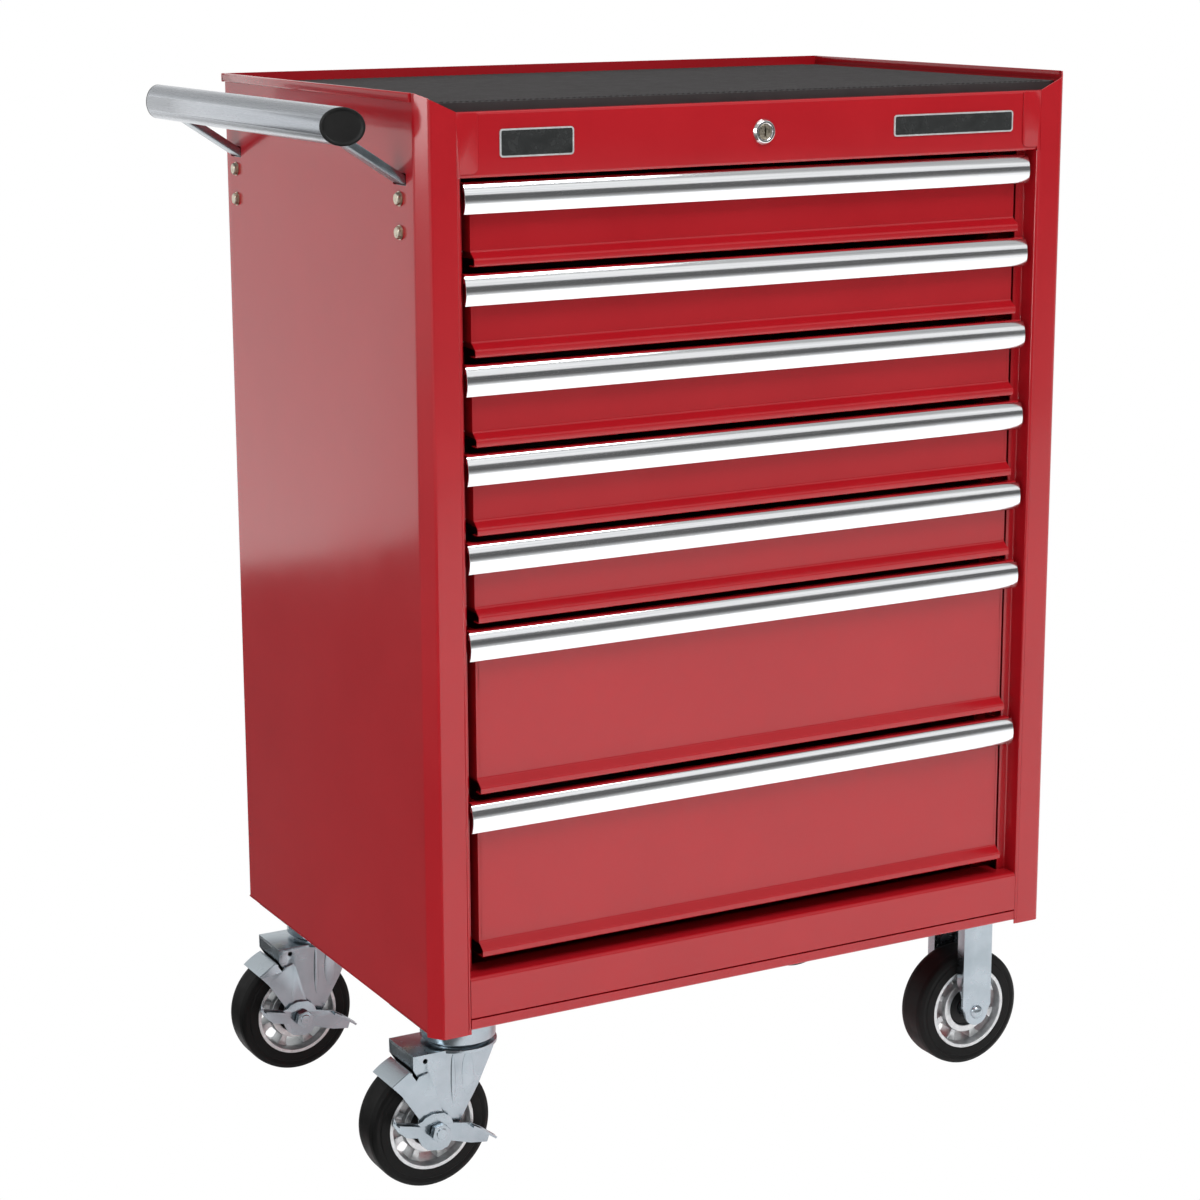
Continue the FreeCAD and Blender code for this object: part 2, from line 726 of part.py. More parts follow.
# ---------------------------------------------------------------- push handle
tube_radius = size("tube_radius")
tube_x = -size("tube_reach")
tube_z = H - size("tube_drop")
slant = size("tube_slant")
cap = size("cap_thickness")
tube_half = size("tube_half")
tube = new_body("push_handle_tube", y=MIDDLE_Y, z=Z0)
extrude(tube, "XZ_Plane", -tube_half - 2 * tube_radius, 2 * tube_half + 4 * tube_radius,
        circles=[(tube_x, tube_z, tube_radius), (tube_x, tube_z, tube_radius - size("tube_wall"))])
wide = tube_radius + 4
for end in (-1, 1):
    tip = end * (tube_half + 3 * tube_radius)
    cut_line = end * (tube_half - cap)
    triangle = [
        (tube_x - wide, tip),
        (tube_x - wide, cut_line - end * wide * slant),
        (tube_x + wide, cut_line + end * wide * slant),
        (tube_x + wide, tip),
    ]
    extrude(tube, "XY_Plane", tube_z - wide, 2 * wide, triangle, cut=True)


def slanted_prism(across, near, far, slope, half_height):
    """Block between two parallel slanted planes, for cutting a round bar."""
    corners = [
        Vector(-across, near - across * slope, -half_height),
        Vector(across, near + across * slope, -half_height),
        Vector(across, far + across * slope, -half_height),
        Vector(-across, far - across * slope, -half_height),
    ]
    face = Part.Face(Part.makePolygon(corners + corners[:1]))
    return face.extrude(Vector(0, 0, 2 * half_height))


def end_cap(end):
    """Slanted disc with a plug that fills the tube's bore."""
    r = tube_radius.value
    half = tube_half.value
    bar = Part.makeCylinder(r, 8 * r, Vector(0, end * half - 4 * r, 0), Vector(0, 1, 0))
    plug_r = r - size("tube_wall").value - 0.1
    core = Part.makeCylinder(plug_r, 8 * r, Vector(0, end * half - 4 * r, 0), Vector(0, 1, 0))
    slope = end * slant.value
    rim = slanted_prism(2 * r, end * (half - cap.value), end * half, slope, 2 * r)
    stem = slanted_prism(2 * r, end * (half - 10), end * (half - cap.value), slope, 2 * r)
    return bar.common(rim).fuse(core.common(stem)).removeSplitter()


shape_part("push_handle_end_caps", Part.makeCompound([end_cap(-1), end_cap(1)]),
           x=tube_x, y=MIDDLE_Y, z=Z0 + tube_z)

brackets = new_body("push_handle_brackets", z=Z0)
strip = size("bracket_thickness")
foot_z = H - size("bracket_foot_drop")
run = size("bracket_run")
rise = size("bracket_rise")
for middle in bracket_ys:
    outline = [
        (G, foot_z),
        (G + strip, foot_z),
        (G + strip, bend_z + strip_up),
        (-run, bend_z + strip_up + (run + G + strip) * arm_slope),
        (-run, bend_z + (run + G) * arm_slope),
        (G, bend_z),
    ]
    extrude(brackets, "XZ_Plane", middle - size("bracket_width") / 2, size("bracket_width"), outline)
extrude(brackets, "XZ_Plane", MIDDLE_Y - tube_half, 2 * tube_half,
        circles=[(tube_x, tube_z, tube_radius)], cut=True)
holes = [(middle, height, bolt_hole) for middle in bracket_ys for height in bolt_heights]
extrude(brackets, "YZ_Plane", 0.0, G + strip + 1, circles=holes, cut=True)

bolts = new_body("push_handle_bolts", z=Z0)


def hexagon(across, up, radius):
    """Six corners about a centre."""
    return [
        (across + radius * math.cos(math.radians(60 * i)), up + radius * math.sin(math.radians(60 * i)))
        for i in range(6)
    ]


head = size("bolt_head")
head_height = size("bolt_head_height")
for middle in bracket_ys:
    for height in bolt_heights:
        extrude(bolts, "YZ_Plane", -head_height, head_height, hexagon(middle, height, head))
        extrude(bolts, "YZ_Plane", -head_height, head_height + G + strip + 8,
                circles=[(middle, height, size("bolt_radius"))])
        extrude(bolts, "YZ_Plane", G + strip, 5.0, hexagon(middle, height, head))

# ---------------------------------------------------------------- castors: shared pieces
AXLE_Z = size("wheel_radius")
plate_top = Z0 + base_low
plate_z = size("plate_z")
bore_radius = size("axle_radius") + size("running_gap")
half_tyre = size("tyre_width") / 2
rim_radius = size("rim_radius")
swivel_axles = [(castor_xs[0] - size("trail"), y) for y in castor_ys]
rigid_axles = [(castor_xs[1], y) for y in castor_ys]
CORNERS = [
    ("front_left", swivel_axles[0]),
    ("rear_left", swivel_axles[1]),
    ("front_right", rigid_axles[0]),
    ("rear_right", rigid_axles[1]),
]

studs = new_body("castor_mounting_bolts", z=Z0)
stud_top = channel_floor + wall
nut_radius = size("stud_radius") * 1.8
for x, y in stud_spots:
    extrude(studs, "XY_Plane", stud_top, 5.0, hexagon(x, y, nut_radius))
    extrude(studs, "XY_Plane", base_low - plate_z - 7.5, stud_top - base_low + plate_z + 8.5,
            circles=[(x, y, size("stud_radius"))])
    extrude(studs, "XY_Plane", base_low - plate_z - 6.0, 6.0, hexagon(x, y, nut_radius))


def rim_outline():
    """Half section of the cast rim, as (along the axle, radius)."""
    ring = rim_radius - size("rim_ring")
    web = size("web_half")
    hub = size("hub_ring")
    inner = size("hub_inner")
    long_half = size("hub_half")
    side = [
        (long_half, bore_radius),
        (long_half, bore_radius + 4),
        (web + 6, bore_radius + 4),
        (web + 6, inner),
        (web + 9, inner),
        (web + 9, hub),
        (web, hub),
        (web, ring),
        (half_tyre, ring),
        (half_tyre, rim_radius),
    ]
    return side + [(-along, radius) for along, radius in reversed(side)]


def tyre_outline():
    """Half section of the tyre, its shoulders rounded by short flats."""
    outer = size("wheel_radius")
    side = [
        (half_tyre, rim_radius),
        (half_tyre, outer - 4),
        (half_tyre - 1, outer - 1.7),
        (half_tyre - 3.5, outer - 0.4),
        (half_tyre - 6.5, outer),
    ]
    return side + [(-along, radius) for along, radius in reversed(side)]


for name, (x, y) in CORNERS:
    rim = new_body(f"wheel_rim_{name}", x=x, y=y, z=AXLE_Z)
    revolve_y(rim, rim_outline())
    half_angle = size("window_angle") / 2
    low_r = size("hub_ring") + 1
    high_r = rim_radius - size("rim_ring") - 1
    spread = math.tan(math.radians(half_angle.value))
    window = [
        (-low_r * spread, low_r),
        (low_r * spread, low_r),
        (high_r * spread, high_r - 2),
        (high_r * spread * 0.5, high_r),
        (-high_r * spread * 0.5, high_r),
        (-high_r * spread, high_r - 2),
    ]
    first = extrude(rim, "XZ_Plane", -half_tyre, 2 * half_tyre, window, cut=True)
    pattern = rim.newObject("PartDesign::PolarPattern", "Windows")
    pattern.Originals = [first]
    pattern.Axis = (origin_feature(rim, "Y_Axis"), [""])
    pattern.Angle = 360.0
    pattern.Occurrences = int(size("window_count").value)
    rim.Tip = pattern
    tyre = new_body(f"tyre_{name}", x=x, y=y, z=AXLE_Z)
    revolve_y(tyre, tyre_outline())

# ---------------------------------------------------------------- rigid castors
PLATE_TOP = plate_top.value
AXLE = AXLE_Z.value
FORK = size("fork_gauge").value


def slab(points, y0, y1):
    """Plate parallel to XZ between two Y values."""
    corners = [Vector(x, y0, z) for x, z in points]
    face = Part.Face(Part.makePolygon(corners + corners[:1]))
    return face.extrude(Vector(0, y1 - y0, 0))


def rod(radius, y0, y1, x=0.0, z=0.0):
    """Round bar along Y."""
    return Part.makeCylinder(radius, y1 - y0, Vector(x, y0, z), Vector(0, 1, 0))


def bolt_plate():
    """Castor top plate with its four holes; its top face is at z = PLATE_TOP."""
    px = size("plate_x").value
    py = size("plate_y").value
    thick = plate_z.value
    plate = Part.makeBox(px, py, thick, Vector(-px / 2, -py / 2, PLATE_TOP - thick))
    edges = [e for e in plate.Edges if abs(e.Vertexes[0].Z - e.Vertexes[1].Z) > thick / 2]
    plate = plate.makeFillet(8.0, edges)
    for sx in (-1, 1):
        for sy in (-1, 1):
            spot = Vector(sx * size("pattern_x").value / 2, sy * size("pattern_y").value / 2, 0)
            plate = plate.cut(Part.makeCylinder(stud_hole.value, PLATE_TOP * 2, spot))
    return plate


def rigid_fork():
    """Top plate and two channel legs with rounded feet."""
    half = size("rigid_half").value
    leg = size("rigid_leg").value / 2
    under = PLATE_TOP - plate_z.value
    foot = leg * 0.8
    shape = bolt_plate()
    shape = shape.fuse(Part.makeBox(2 * leg, 2 * half, FORK, Vector(-leg, -half, under - FORK)))
    for side in (-1, 1):
        outer = side * half
        inner = side * (half - FORK)
        y0, y1 = min(outer, inner), max(outer, inner)
        face = slab([(-leg, under), (leg, under), (leg, AXLE + 6), (foot, AXLE),
                     (-foot, AXLE), (-leg, AXLE + 6)], y0, y1)
        face = face.fuse(rod(foot, y0, y1, 0, AXLE))
        deep = side * (half - 11)
        f0, f1 = min(inner, deep), max(inner, deep)
        for edge in (-1, 1):
            x_out = edge * leg
            x_in = edge * (leg - FORK)
            flange_points = [(x_out, under), (x_in, under), (x_in, AXLE + 18), (x_out, AXLE + 18)]
            wing = slab(flange_points, f0, f1)
            # The flange's lower corner is cut away towards the wheel.
            chop = Part.makePolygon([
                Vector(-leg - 1, deep, AXLE + 10),
                Vector(-leg - 1, deep, AXLE + 30),
                Vector(-leg - 1, inner, AXLE + 18),
                Vector(-leg - 1, inner, AXLE + 10),
                Vector(-leg - 1, deep, AXLE + 10),
            ])
            wing = wing.cut(Part.Face(chop).extrude(Vector(2 * leg + 2, 0, 0)))
            face = face.fuse(wing)
        shape = shape.fuse(face)
    hole = rod(size("axle_radius").value + 0.1, -half - 5, half + 5, 0, AXLE)
    return shape.cut(hole).removeSplitter()


def rigid_axle():
    """Riveted pin with domed heads and two spacer tubes."""
    half = size("rigid_half").value
    r = size("axle_radius").value
    gap = size("hub_half").value + 0.3
    shape = rod(r, -half - 1, half + 1, 0, AXLE)
    for side in (-1, 1):
        y0, y1 = sorted((side * gap, side * (half - FORK)))
        shape = shape.fuse(rod(r + 3, y0, y1, 0, AXLE))
        dome = Part.makeSphere(7.5, Vector(0, side * (half - 2.8), AXLE))
        keep = Part.makeBox(40, 20, 40, Vector(-20, half if side > 0 else -half - 20, AXLE - 20))
        shape = shape.fuse(dome.common(keep))
    return shape.removeSplitter()


def pair(shape, spots):
    """The same solid at two spots along Y, measured from the first."""
    gap = spots[1].value - spots[0].value
    second = shape.copy()
    second.translate(Vector(0, gap, 0))
    return Part.makeCompound([shape, second])


shape_part("rigid_castor_forks", pair(rigid_fork(), castor_ys), x=castor_xs[1], y=castor_ys[0])
shape_part("rigid_castor_axles", pair(rigid_axle(), castor_ys), x=castor_xs[1], y=castor_ys[0])

# ---------------------------------------------------------------- swivel castors
RACE_LOW = PLATE_TOP - plate_z.value - size("race_height").value
FORK_TOP = RACE_LOW - 0.4
TRAIL = size("trail").value
HALF = size("fork_half").value
AXLE_R = size("axle_radius").value
KING = 6.0


def swivel_plate():
    """Top plate, pressed race and king pin with its nut under the fork."""
    race = size("race_radius").value
    under = PLATE_TOP - plate_z.value
    shape = bolt_plate()
    bands = ((under - 9, under, race - 4), (RACE_LOW + 4, under - 9, race), (RACE_LOW, RACE_LOW + 4, race - 7))
    for low, high, radius in bands:
        shape = shape.fuse(Part.makeCylinder(radius, high - low, Vector(0, 0, low)))
    pin_low = FORK_TOP - FORK - 6
    shape = shape.fuse(Part.makeCylinder(KING, under - pin_low, Vector(0, 0, pin_low)))
    shape = shape.fuse(Part.makeCylinder(11.0, 5.6, Vector(0, 0, pin_low)))
    return shape.removeSplitter()


def swivel_fork():
    """Round top, box over the tyre and two raked legs down to the axle."""
    top = Part.makeCylinder(36.0, FORK, Vector(0, 0, FORK_TOP - FORK))
    cover = Part.makeBox(58.0, 2 * HALF, FORK, Vector(-58.0, -HALF, FORK_TOP - FORK))
    shape = top.fuse(cover)
    high = FORK_TOP
    leg = [
        (-58.0, high),
        (-58.0, high - 13),
        (-52.0, high - 23),
        (-TRAIL - 17, AXLE + 2),
        (-TRAIL - 15, AXLE - 9),
        (-TRAIL - 8, AXLE - 16),
        (-TRAIL, AXLE - 18),
        (-TRAIL + 9, AXLE - 16),
        (-TRAIL + 17, AXLE - 9),
        (-TRAIL + 23, AXLE + 0.5),
        (7.0, high - 40),
        (19.5, high - 14),
        (23.5, high - 5),
        (23.5, high),
    ]
    for y0, y1 in ((-HALF, FORK - HALF), (HALF - FORK, HALF)):
        shape = shape.fuse(slab(leg, y0, y1))
    shape = shape.cut(rod(AXLE_R + 0.1, -HALF - 5, HALF + 5, -TRAIL, AXLE))
    shape = shape.cut(rod(2.3, -HALF - 5, HALF + 5, -45.6, high - 6.5))
    bore_king = Part.makeCylinder(KING + 0.06, 40, Vector(0, 0, FORK_TOP - 20))
    return shape.cut(bore_king).removeSplitter()


def swivel_axle():
    """Axle bolt with its head at the back, spacers, washer and nut at the front."""
    front = -HALF - 6.0
    shape = rod(AXLE_R, front - 7.5, HALF + 1, -TRAIL, AXLE)
    gap = size("hub_half").value + 0.3
    for y0, y1 in ((FORK - HALF, -gap), (gap, HALF - FORK)):
        shape = shape.fuse(rod(AXLE_R + 3, y0, y1, -TRAIL, AXLE))
    for start, height in ((front - 6.5, 6.0), (HALF, 6.0)):
        points = [(-TRAIL + 9.5 * math.cos(math.radians(60 * i + 15)),
                   AXLE + 9.5 * math.sin(math.radians(60 * i + 15))) for i in range(6)]
        shape = shape.fuse(slab(points, start, start + height))
    return shape.removeSplitter()


PLATE_IN = -HALF - 0.6
SHOE = size("shoe_gauge").value


def brake_shoe():
    """Curved shoe over the tyre, joined round the fork to a side plate at the axle."""
    inner = size("wheel_radius").value + size("shoe_gap").value
    outer = inner + SHOE
    y_far = half_tyre.value
    ring = rod(outer, PLATE_IN - SHOE, y_far, -TRAIL, AXLE)
    ring = ring.cut(rod(inner, PLATE_IN - SHOE - 1, y_far + 1, -TRAIL, AXLE))
    a0, a1 = math.radians(112), math.radians(131.5)
    far = outer * 1.4
    wedge = slab([(-TRAIL, AXLE),
                  (-TRAIL + far * math.cos(a0), AXLE + far * math.sin(a0)),
                  (-TRAIL + far * math.cos(a1), AXLE + far * math.sin(a1))],
                 PLATE_IN - SHOE, y_far)
    shoe = ring.common(wedge)
    outline = [(-13, 9), (-16.3, 11.7), (-34.8, 39.8), (-43.8, 49.7), (-26.4, 61.0), (-19.6, 51.2),
               (-17.5, 54.7), (-7.5, 57.5), (-4.5, 53.0), (8.8, 5.5)]
    plate = slab([(-TRAIL + x, AXLE + z) for x, z in outline], PLATE_IN - SHOE, PLATE_IN)
    plate = plate.fuse(rod(15.0, PLATE_IN - SHOE, PLATE_IN, -TRAIL, AXLE))
    shape = shoe.fuse(plate)
    return shape.cut(rod(AXLE_R + 2.2, PLATE_IN - SHOE - 1, PLATE_IN + 1, -TRAIL, AXLE)).removeSplitter()


PEDAL_BACK = PLATE_IN - SHOE - 0.4


def brake_pedal():
    """Two-winged pedal that turns on the axle bolt."""
    thick = 2.4
    outline = [(-44, 21.5), (-45.5, 15), (-40.3, 7), (-31.5, -0.6), (-20.5, -3), (-16.6, -11.6),
               (-10.7, -16.8), (2.4, -19.2), (9.5, -17), (12.6, -12), (32.9, -18.4), (49.3, -20.9),
               (51.5, -14.5), (57.6, -15.8), (43.4, -5), (33.2, 1.2), (15, 5.1), (13, 11), (6, 16.5),
               (-5, 17.5), (-13, 15), (-16.2, 12), (-21, 11), (-42, 16.5)]
    points = [(-TRAIL + x, AXLE + z) for x, z in outline]
    front = PEDAL_BACK - thick
    shape = slab(points, front, PEDAL_BACK)
    ledges = ([(-42, 14.0), (-21, 8.6), (-21, 10.8), (-42, 16.2)],
              [(33.0, 0.8), (43.2, -5.4), (56.4, -15.2), (55.0, -16.6), (42.0, -7.2), (32.0, -1.4)])
    for ledge in ledges:
        shape = shape.fuse(slab([(-TRAIL + x, AXLE + z) for x, z in ledge], front - 7, front))
    return shape.cut(rod(bore_radius.value, front - 9, PEDAL_BACK + 1, -TRAIL, AXLE)).removeSplitter()


shape_part("swivel_castor_plates", pair(swivel_plate(), castor_ys), x=castor_xs[0], y=castor_ys[0])
for name, y in zip(("front", "rear"), castor_ys):
    shape_part(f"swivel_fork_{name}", swivel_fork(), x=castor_xs[0], y=y)
    shape_part(f"swivel_axle_{name}", swivel_axle(), x=castor_xs[0], y=y)
    shape_part(f"brake_shoe_{name}", brake_shoe(), x=castor_xs[0], y=y)
    shape_part(f"brake_pedal_{name}", brake_pedal(), x=castor_xs[0], y=y)

# ---------------------------------------------------------------- check and write
doc.recompute()
for obj in doc.Objects:
    if "Invalid" in obj.State or "Error" in obj.State:
        raise RuntimeError(f"{obj.Label} failed: {obj.State}")
for pocket in POCKETS:
    base_shape = pocket.BaseFeature.Shape
    if base_shape.Volume - pocket.Shape.Volume < 0.5:
        raise RuntimeError(f"{pocket.Label} of {pocket.getParentGeoFeatureGroup().Label} cuts nothing")
for part in PARTS:
    if part.Shape.isNull() or not part.Shape.isValid() or not part.Shape.Solids:
        raise RuntimeError(f"{part.Label} has no valid shape")

os.makedirs("parts", exist_ok=True)
for part in PARTS:
    part.Shape.exportStep(f"parts/{part.Label}.step")
print(len(PARTS), "sub-parts written")
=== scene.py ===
"""Rolling tool cabinet: folded steel, trims, push handle and castors round the packed frame."""
import math

import bmesh
import bpy
from bpy.props import FloatProperty, FloatVectorProperty, PointerProperty
from mathutils import Matrix, Vector


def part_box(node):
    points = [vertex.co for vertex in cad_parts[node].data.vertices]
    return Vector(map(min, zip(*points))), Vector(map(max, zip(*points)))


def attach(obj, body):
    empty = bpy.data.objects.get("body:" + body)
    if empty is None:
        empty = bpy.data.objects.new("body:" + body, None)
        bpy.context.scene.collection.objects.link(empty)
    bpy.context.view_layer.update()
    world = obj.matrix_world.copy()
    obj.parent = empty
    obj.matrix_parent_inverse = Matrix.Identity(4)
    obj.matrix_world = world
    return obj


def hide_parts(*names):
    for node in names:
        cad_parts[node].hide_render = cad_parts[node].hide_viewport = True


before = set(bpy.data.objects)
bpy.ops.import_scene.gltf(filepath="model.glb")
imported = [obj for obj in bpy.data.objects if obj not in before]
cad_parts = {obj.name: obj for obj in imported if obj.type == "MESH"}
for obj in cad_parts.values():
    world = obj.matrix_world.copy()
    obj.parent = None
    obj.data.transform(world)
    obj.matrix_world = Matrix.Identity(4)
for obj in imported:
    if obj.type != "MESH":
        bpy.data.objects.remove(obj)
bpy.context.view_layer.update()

bl_info = {
    "name": "Rolling tool cabinet",
    "version": (1, 0, 0),
    "blender": (4, 5, 0),
    "location": "View3D > Sidebar > Tool Cabinet",
    "description": "Builds a seven-drawer roller cabinet on its engineering frame",
    "category": "Object",
}

MM = 0.001
DRAWERS = range(1, 8)
SIDES = ("front", "rear")
# The cabinet's own corner: left side, stile face, stile bottom.
HEM_PROUD = 2.0
SIDE_LOW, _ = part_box("left_side_panel")
CORNER = Vector((SIDE_LOW.x + HEM_PROUD * MM, SIDE_LOW.y, SIDE_LOW.z))


def at(x, y, z):
    """Metres in the frame for a spot given in millimetres from the cabinet's corner."""
    return CORNER + Vector((x, y, z)) * MM


def span(node):
    """A node's lowest and highest corner in millimetres from the cabinet's corner."""
    low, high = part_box(node)
    return (low - CORNER) / MM, (high - CORNER) / MM


WIDTH = span("right_side_panel")[1].x - HEM_PROUD
DEPTH = span("back_panel")[1].y - HEM_PROUD
HEIGHT = span("left_side_panel")[1].z
GAUGE = 1.2
OPENING_TOP = span("front_header")[0].z
HEADER_TOP = span("front_header")[1].z
STILE = 37.3  # width of a stile's face
CUT_X, CUT_Y = 9.65, 12.9  # the cut corner, sideways and front to back
SIDE_LIFT = 5.0  # lower edge of the side and back sheets above the stile's foot
RETURN_DEPTH = 18.4  # a stile's inner return
TAB_WIDTH = 17.0  # a stile's tab over the header
BEAD_HEIGHT, BEAD_RADIUS = 8.0, 1.7  # rolled rim
THIN = 1.0  # drawer sheet
TRIM_RADIUS, TRIM_WALL = 25.0, 1.4  # curve and wall of the pulls
TUBE_WALL, TUBE_SLANT = 1.5, 0.65  # handle tube: wall, and slope of its cut ends
RIB_PITCH = 6.0  # mat ribs
SPOKES = 8


# ---------------------------------------------------------------- colours and materials
def linear(code):
    """Linear RGBA from an sRGB hex code."""
    values = [int(code[i:i + 2], 16) / 255 for i in (1, 3, 5)]
    return [v / 12.92 if v <= 0.04045 else ((v + 0.055) / 1.055) ** 2.4 for v in values] + [1.0]


def add_node(tree, kind, inputs=None, **settings):
    """Add a node; an input is a value, or the output socket that feeds it."""
    node = tree.nodes.new(kind)
    for name, value in settings.items():
        setattr(node, name, value)
    for name, value in (inputs or {}).items():
        socket = node.inputs[name]
        if isinstance(value, bpy.types.NodeSocket):
            tree.links.new(value, socket)
        else:
            socket.default_value = value
    return node


def make_finish(name, light, dark, grain, rough, metallic=0.0, stretch=(1, 1, 1), bump=None,
                coat=0.0, **shader_values):
    """A finish whose colour wanders between two tones and whose roughness wanders with it.

    grain is the size of the tone's patches in mm, rough the lowest and highest roughness,
    bump (grain in mm, height in mm), stretch how much longer the marks are along each axis.
    """
    material = bpy.data.materials.new(name)
    material.use_nodes = True
    tree = material.node_tree
    tree.nodes.clear()
    place = add_node(tree, "ShaderNodeTexCoord").outputs["Object"]
    place = add_node(tree, "ShaderNodeMapping",
                     {"Vector": place, "Scale": [1 / s for s in stretch]}).outputs["Vector"]
    patches = add_node(tree, "ShaderNodeTexNoise",
                       {"Vector": place, "Scale": 1000 / grain, "Detail": 5.0, "Roughness": 0.6})
    spread = add_node(tree, "ShaderNodeMapRange",
                      {"Value": patches.outputs["Fac"], "From Min": 0.3, "From Max": 0.7})
    tone = add_node(tree, "ShaderNodeMix",
                    {"Factor": spread.outputs["Result"]}, data_type="RGBA")
    tone.inputs[6].default_value = linear(dark)
    tone.inputs[7].default_value = linear(light)
    sheen = add_node(tree, "ShaderNodeMapRange",
                     {"Value": patches.outputs["Fac"], "From Min": 0.3, "From Max": 0.7,
                      "To Min": rough[0], "To Max": rough[1]})
    shader = add_node(tree, "ShaderNodeBsdfPrincipled",
                      {"Base Color": tone.outputs[2], "Roughness": sheen.outputs["Result"],
                       "Metallic": metallic, "Coat Weight": coat, "Coat Roughness": 0.05,
                       **shader_values})
    if bump:
        wave, height = bump
        fine = add_node(tree, "ShaderNodeTexNoise",
                        {"Vector": place, "Scale": 1000 / wave, "Detail": 3.0})
        dent = add_node(tree, "ShaderNodeBump",
                        {"Height": fine.outputs["Fac"], "Strength": 1.0, "Distance": height * MM})
        tree.links.new(dent.outputs["Normal"], shader.inputs["Normal"])
        if coat:
            tree.links.new(dent.outputs["Normal"], shader.inputs["Coat Normal"])
    add_node(tree, "ShaderNodeOutputMaterial", {"Surface": shader.outputs["BSDF"]})
    return material


FINISHES = {}


def finish(name):
    """The named finish, made the first time it is asked for."""
    if name not in FINISHES:
        colours = bpy.context.scene.cabinet_colours
        FINISHES[name] = FINISH_RECIPES[name](colours)
    return FINISHES[name]


def hex_of(colour):
    """sRGB hex code of a colour property."""
    return "#" + "".join(f"{round(c * 255):02x}" for c in colour[:3])


def shade(code, factor):
    """A hex code made lighter or darker."""
    parts = [min(255, round(int(code[i:i + 2], 16) * factor)) for i in (1, 3, 5)]
    return "#" + "".join(f"{p:02x}" for p in parts)


FINISH_RECIPES = {
    # Gloss powder coat on folded steel: deep red, a sharp skin with faint orange peel.
    "gloss_red_powder_coat": lambda c: make_finish(
        "gloss_red_powder_coat", hex_of(c.paint), shade(hex_of(c.paint), 0.965), 90.0,
        (0.10, 0.15), bump=(5.0, 0.008)),
    # Ribbed synthetic rubber: dark warm grey, dull, with a little dust in the grain.
    "ribbed_rubber": lambda c: make_finish(
        "ribbed_rubber", "#2c2829", "#211e1f", 14.0, (0.62, 0.8), bump=(1.2, 0.05)),
    # Bright zinc plate on pressed steel: bluish silver with soft clouding.
    "bright_zinc_plate": lambda c: make_finish(
        "bright_zinc_plate", "#a6b0b7", "#929da4", 30.0, (0.20, 0.30), metallic=1.0,
        bump=(2.2, 0.006)),
    # Galvanised sheet for the inner frame: duller, larger flowers.
    "galvanised_steel": lambda c: make_finish(
        "galvanised_steel", "#b9bdc0", "#8f9498", 9.0, (0.38, 0.55), metallic=1.0,
        bump=(2.0, 0.01)),
    # Ball-bearing slide, rolled steel with a thin oiled zinc coat, drawn along its length.
    "drawn_slide_steel": lambda c: make_finish(
        "drawn_slide_steel", "#c4c7c9", "#9da2a6", 4.0, (0.26, 0.42), metallic=1.0,
        stretch=(1, 30, 1), bump=(0.8, 0.006)),
    # Bright-dipped extruded aluminium: almost a mirror, with fine lines along the extrusion.
    "bright_aluminium_extrusion": lambda c: make_finish(
        "bright_aluminium_extrusion", "#f0f1f2", "#dcdee1", 1.2, (0.10, 0.17), metallic=1.0,
        stretch=(140, 1, 1), bump=(0.5, 0.0016)),
    # Chrome plate on the lock.
    "chrome_plate": lambda c: make_finish(
        "chrome_plate", "#f2f2f2", "#d9dadb", 6.0, (0.05, 0.12), metallic=1.0,
        bump=(1.0, 0.002)),
    # Brass lock plug, nickel flashed.
    "nickel_flashed_brass": lambda c: make_finish(
        "nickel_flashed_brass", "#cfc6b4", "#9c917d", 2.0, (0.22, 0.36), metallic=1.0,
        bump=(0.7, 0.01)),
    # Black enamel field of the blank name plates.
    "black_plate_enamel": lambda c: make_finish(
        "black_plate_enamel", "#2b2d2d", "#1f2121", 12.0, (0.22, 0.3), coat=0.4,
        bump=(1.5, 0.004)),
    # Silver print and rolled edge of the name plates.
    "silver_plate_edge": lambda c: make_finish(
        "silver_plate_edge", "#c9cccc", "#b4b7b8", 6.0, (0.3, 0.4), metallic=0.35,
        bump=(1.0, 0.003)),
    # Satin chrome tube, polished round and round.
    "satin_chrome_tube": lambda c: make_finish(
        "satin_chrome_tube", "#bcc0c6", "#b3b8be", 2.2, (0.24, 0.30), metallic=1.0,
        stretch=(1, 45, 1), bump=(0.7, 0.0012)),
    # Moulded polyethylene end cap, fine spark-eroded grain.
    "moulded_black_cap": lambda c: make_finish(
        "moulded_black_cap", "#121212", "#0b0b0b", 7.0, (0.42, 0.55), bump=(0.9, 0.02),
        **{"Specular IOR Level": 0.25}),
    # Yellow-passivated zinc bolts, a warm silver.
    "passivated_fastener": lambda c: make_finish(
        "passivated_fastener", "#d9cfbc", "#a99f8e", 3.0, (0.24, 0.4), metallic=1.0,
        bump=(0.8, 0.01)),
    # Die-cast aluminium wheel centre, shot-blasted then turned on the ring.
    "cast_aluminium": lambda c: make_finish(
        "cast_aluminium", "#d6d8d9", "#b3b6b8", 5.0, (0.34, 0.48), metallic=1.0,
        bump=(0.9, 0.02)),
    # Elastic rubber tyre: near black, satin on the tread, faint mould bloom.
    "black_tyre_rubber": lambda c: make_finish(
        "black_tyre_rubber", "#0e0e0e", "#070707", 16.0, (0.45, 0.62), bump=(1.4, 0.02),
        **{"Specular IOR Level": 0.15}),
    # Sealed bearing cover.
    "black_bearing_seal": lambda c: make_finish(
        "black_bearing_seal", "#121314", "#0a0a0b", 4.0, (0.45, 0.6), bump=(0.8, 0.01),
        **{"Specular IOR Level": 0.25}),
    # Nylon ring of a lock nut.
    "white_nylon": lambda c: make_finish(
        "white_nylon", "#dfe3e6", "#c6ccd1", 3.0, (0.4, 0.5), bump=(0.8, 0.005)),
}


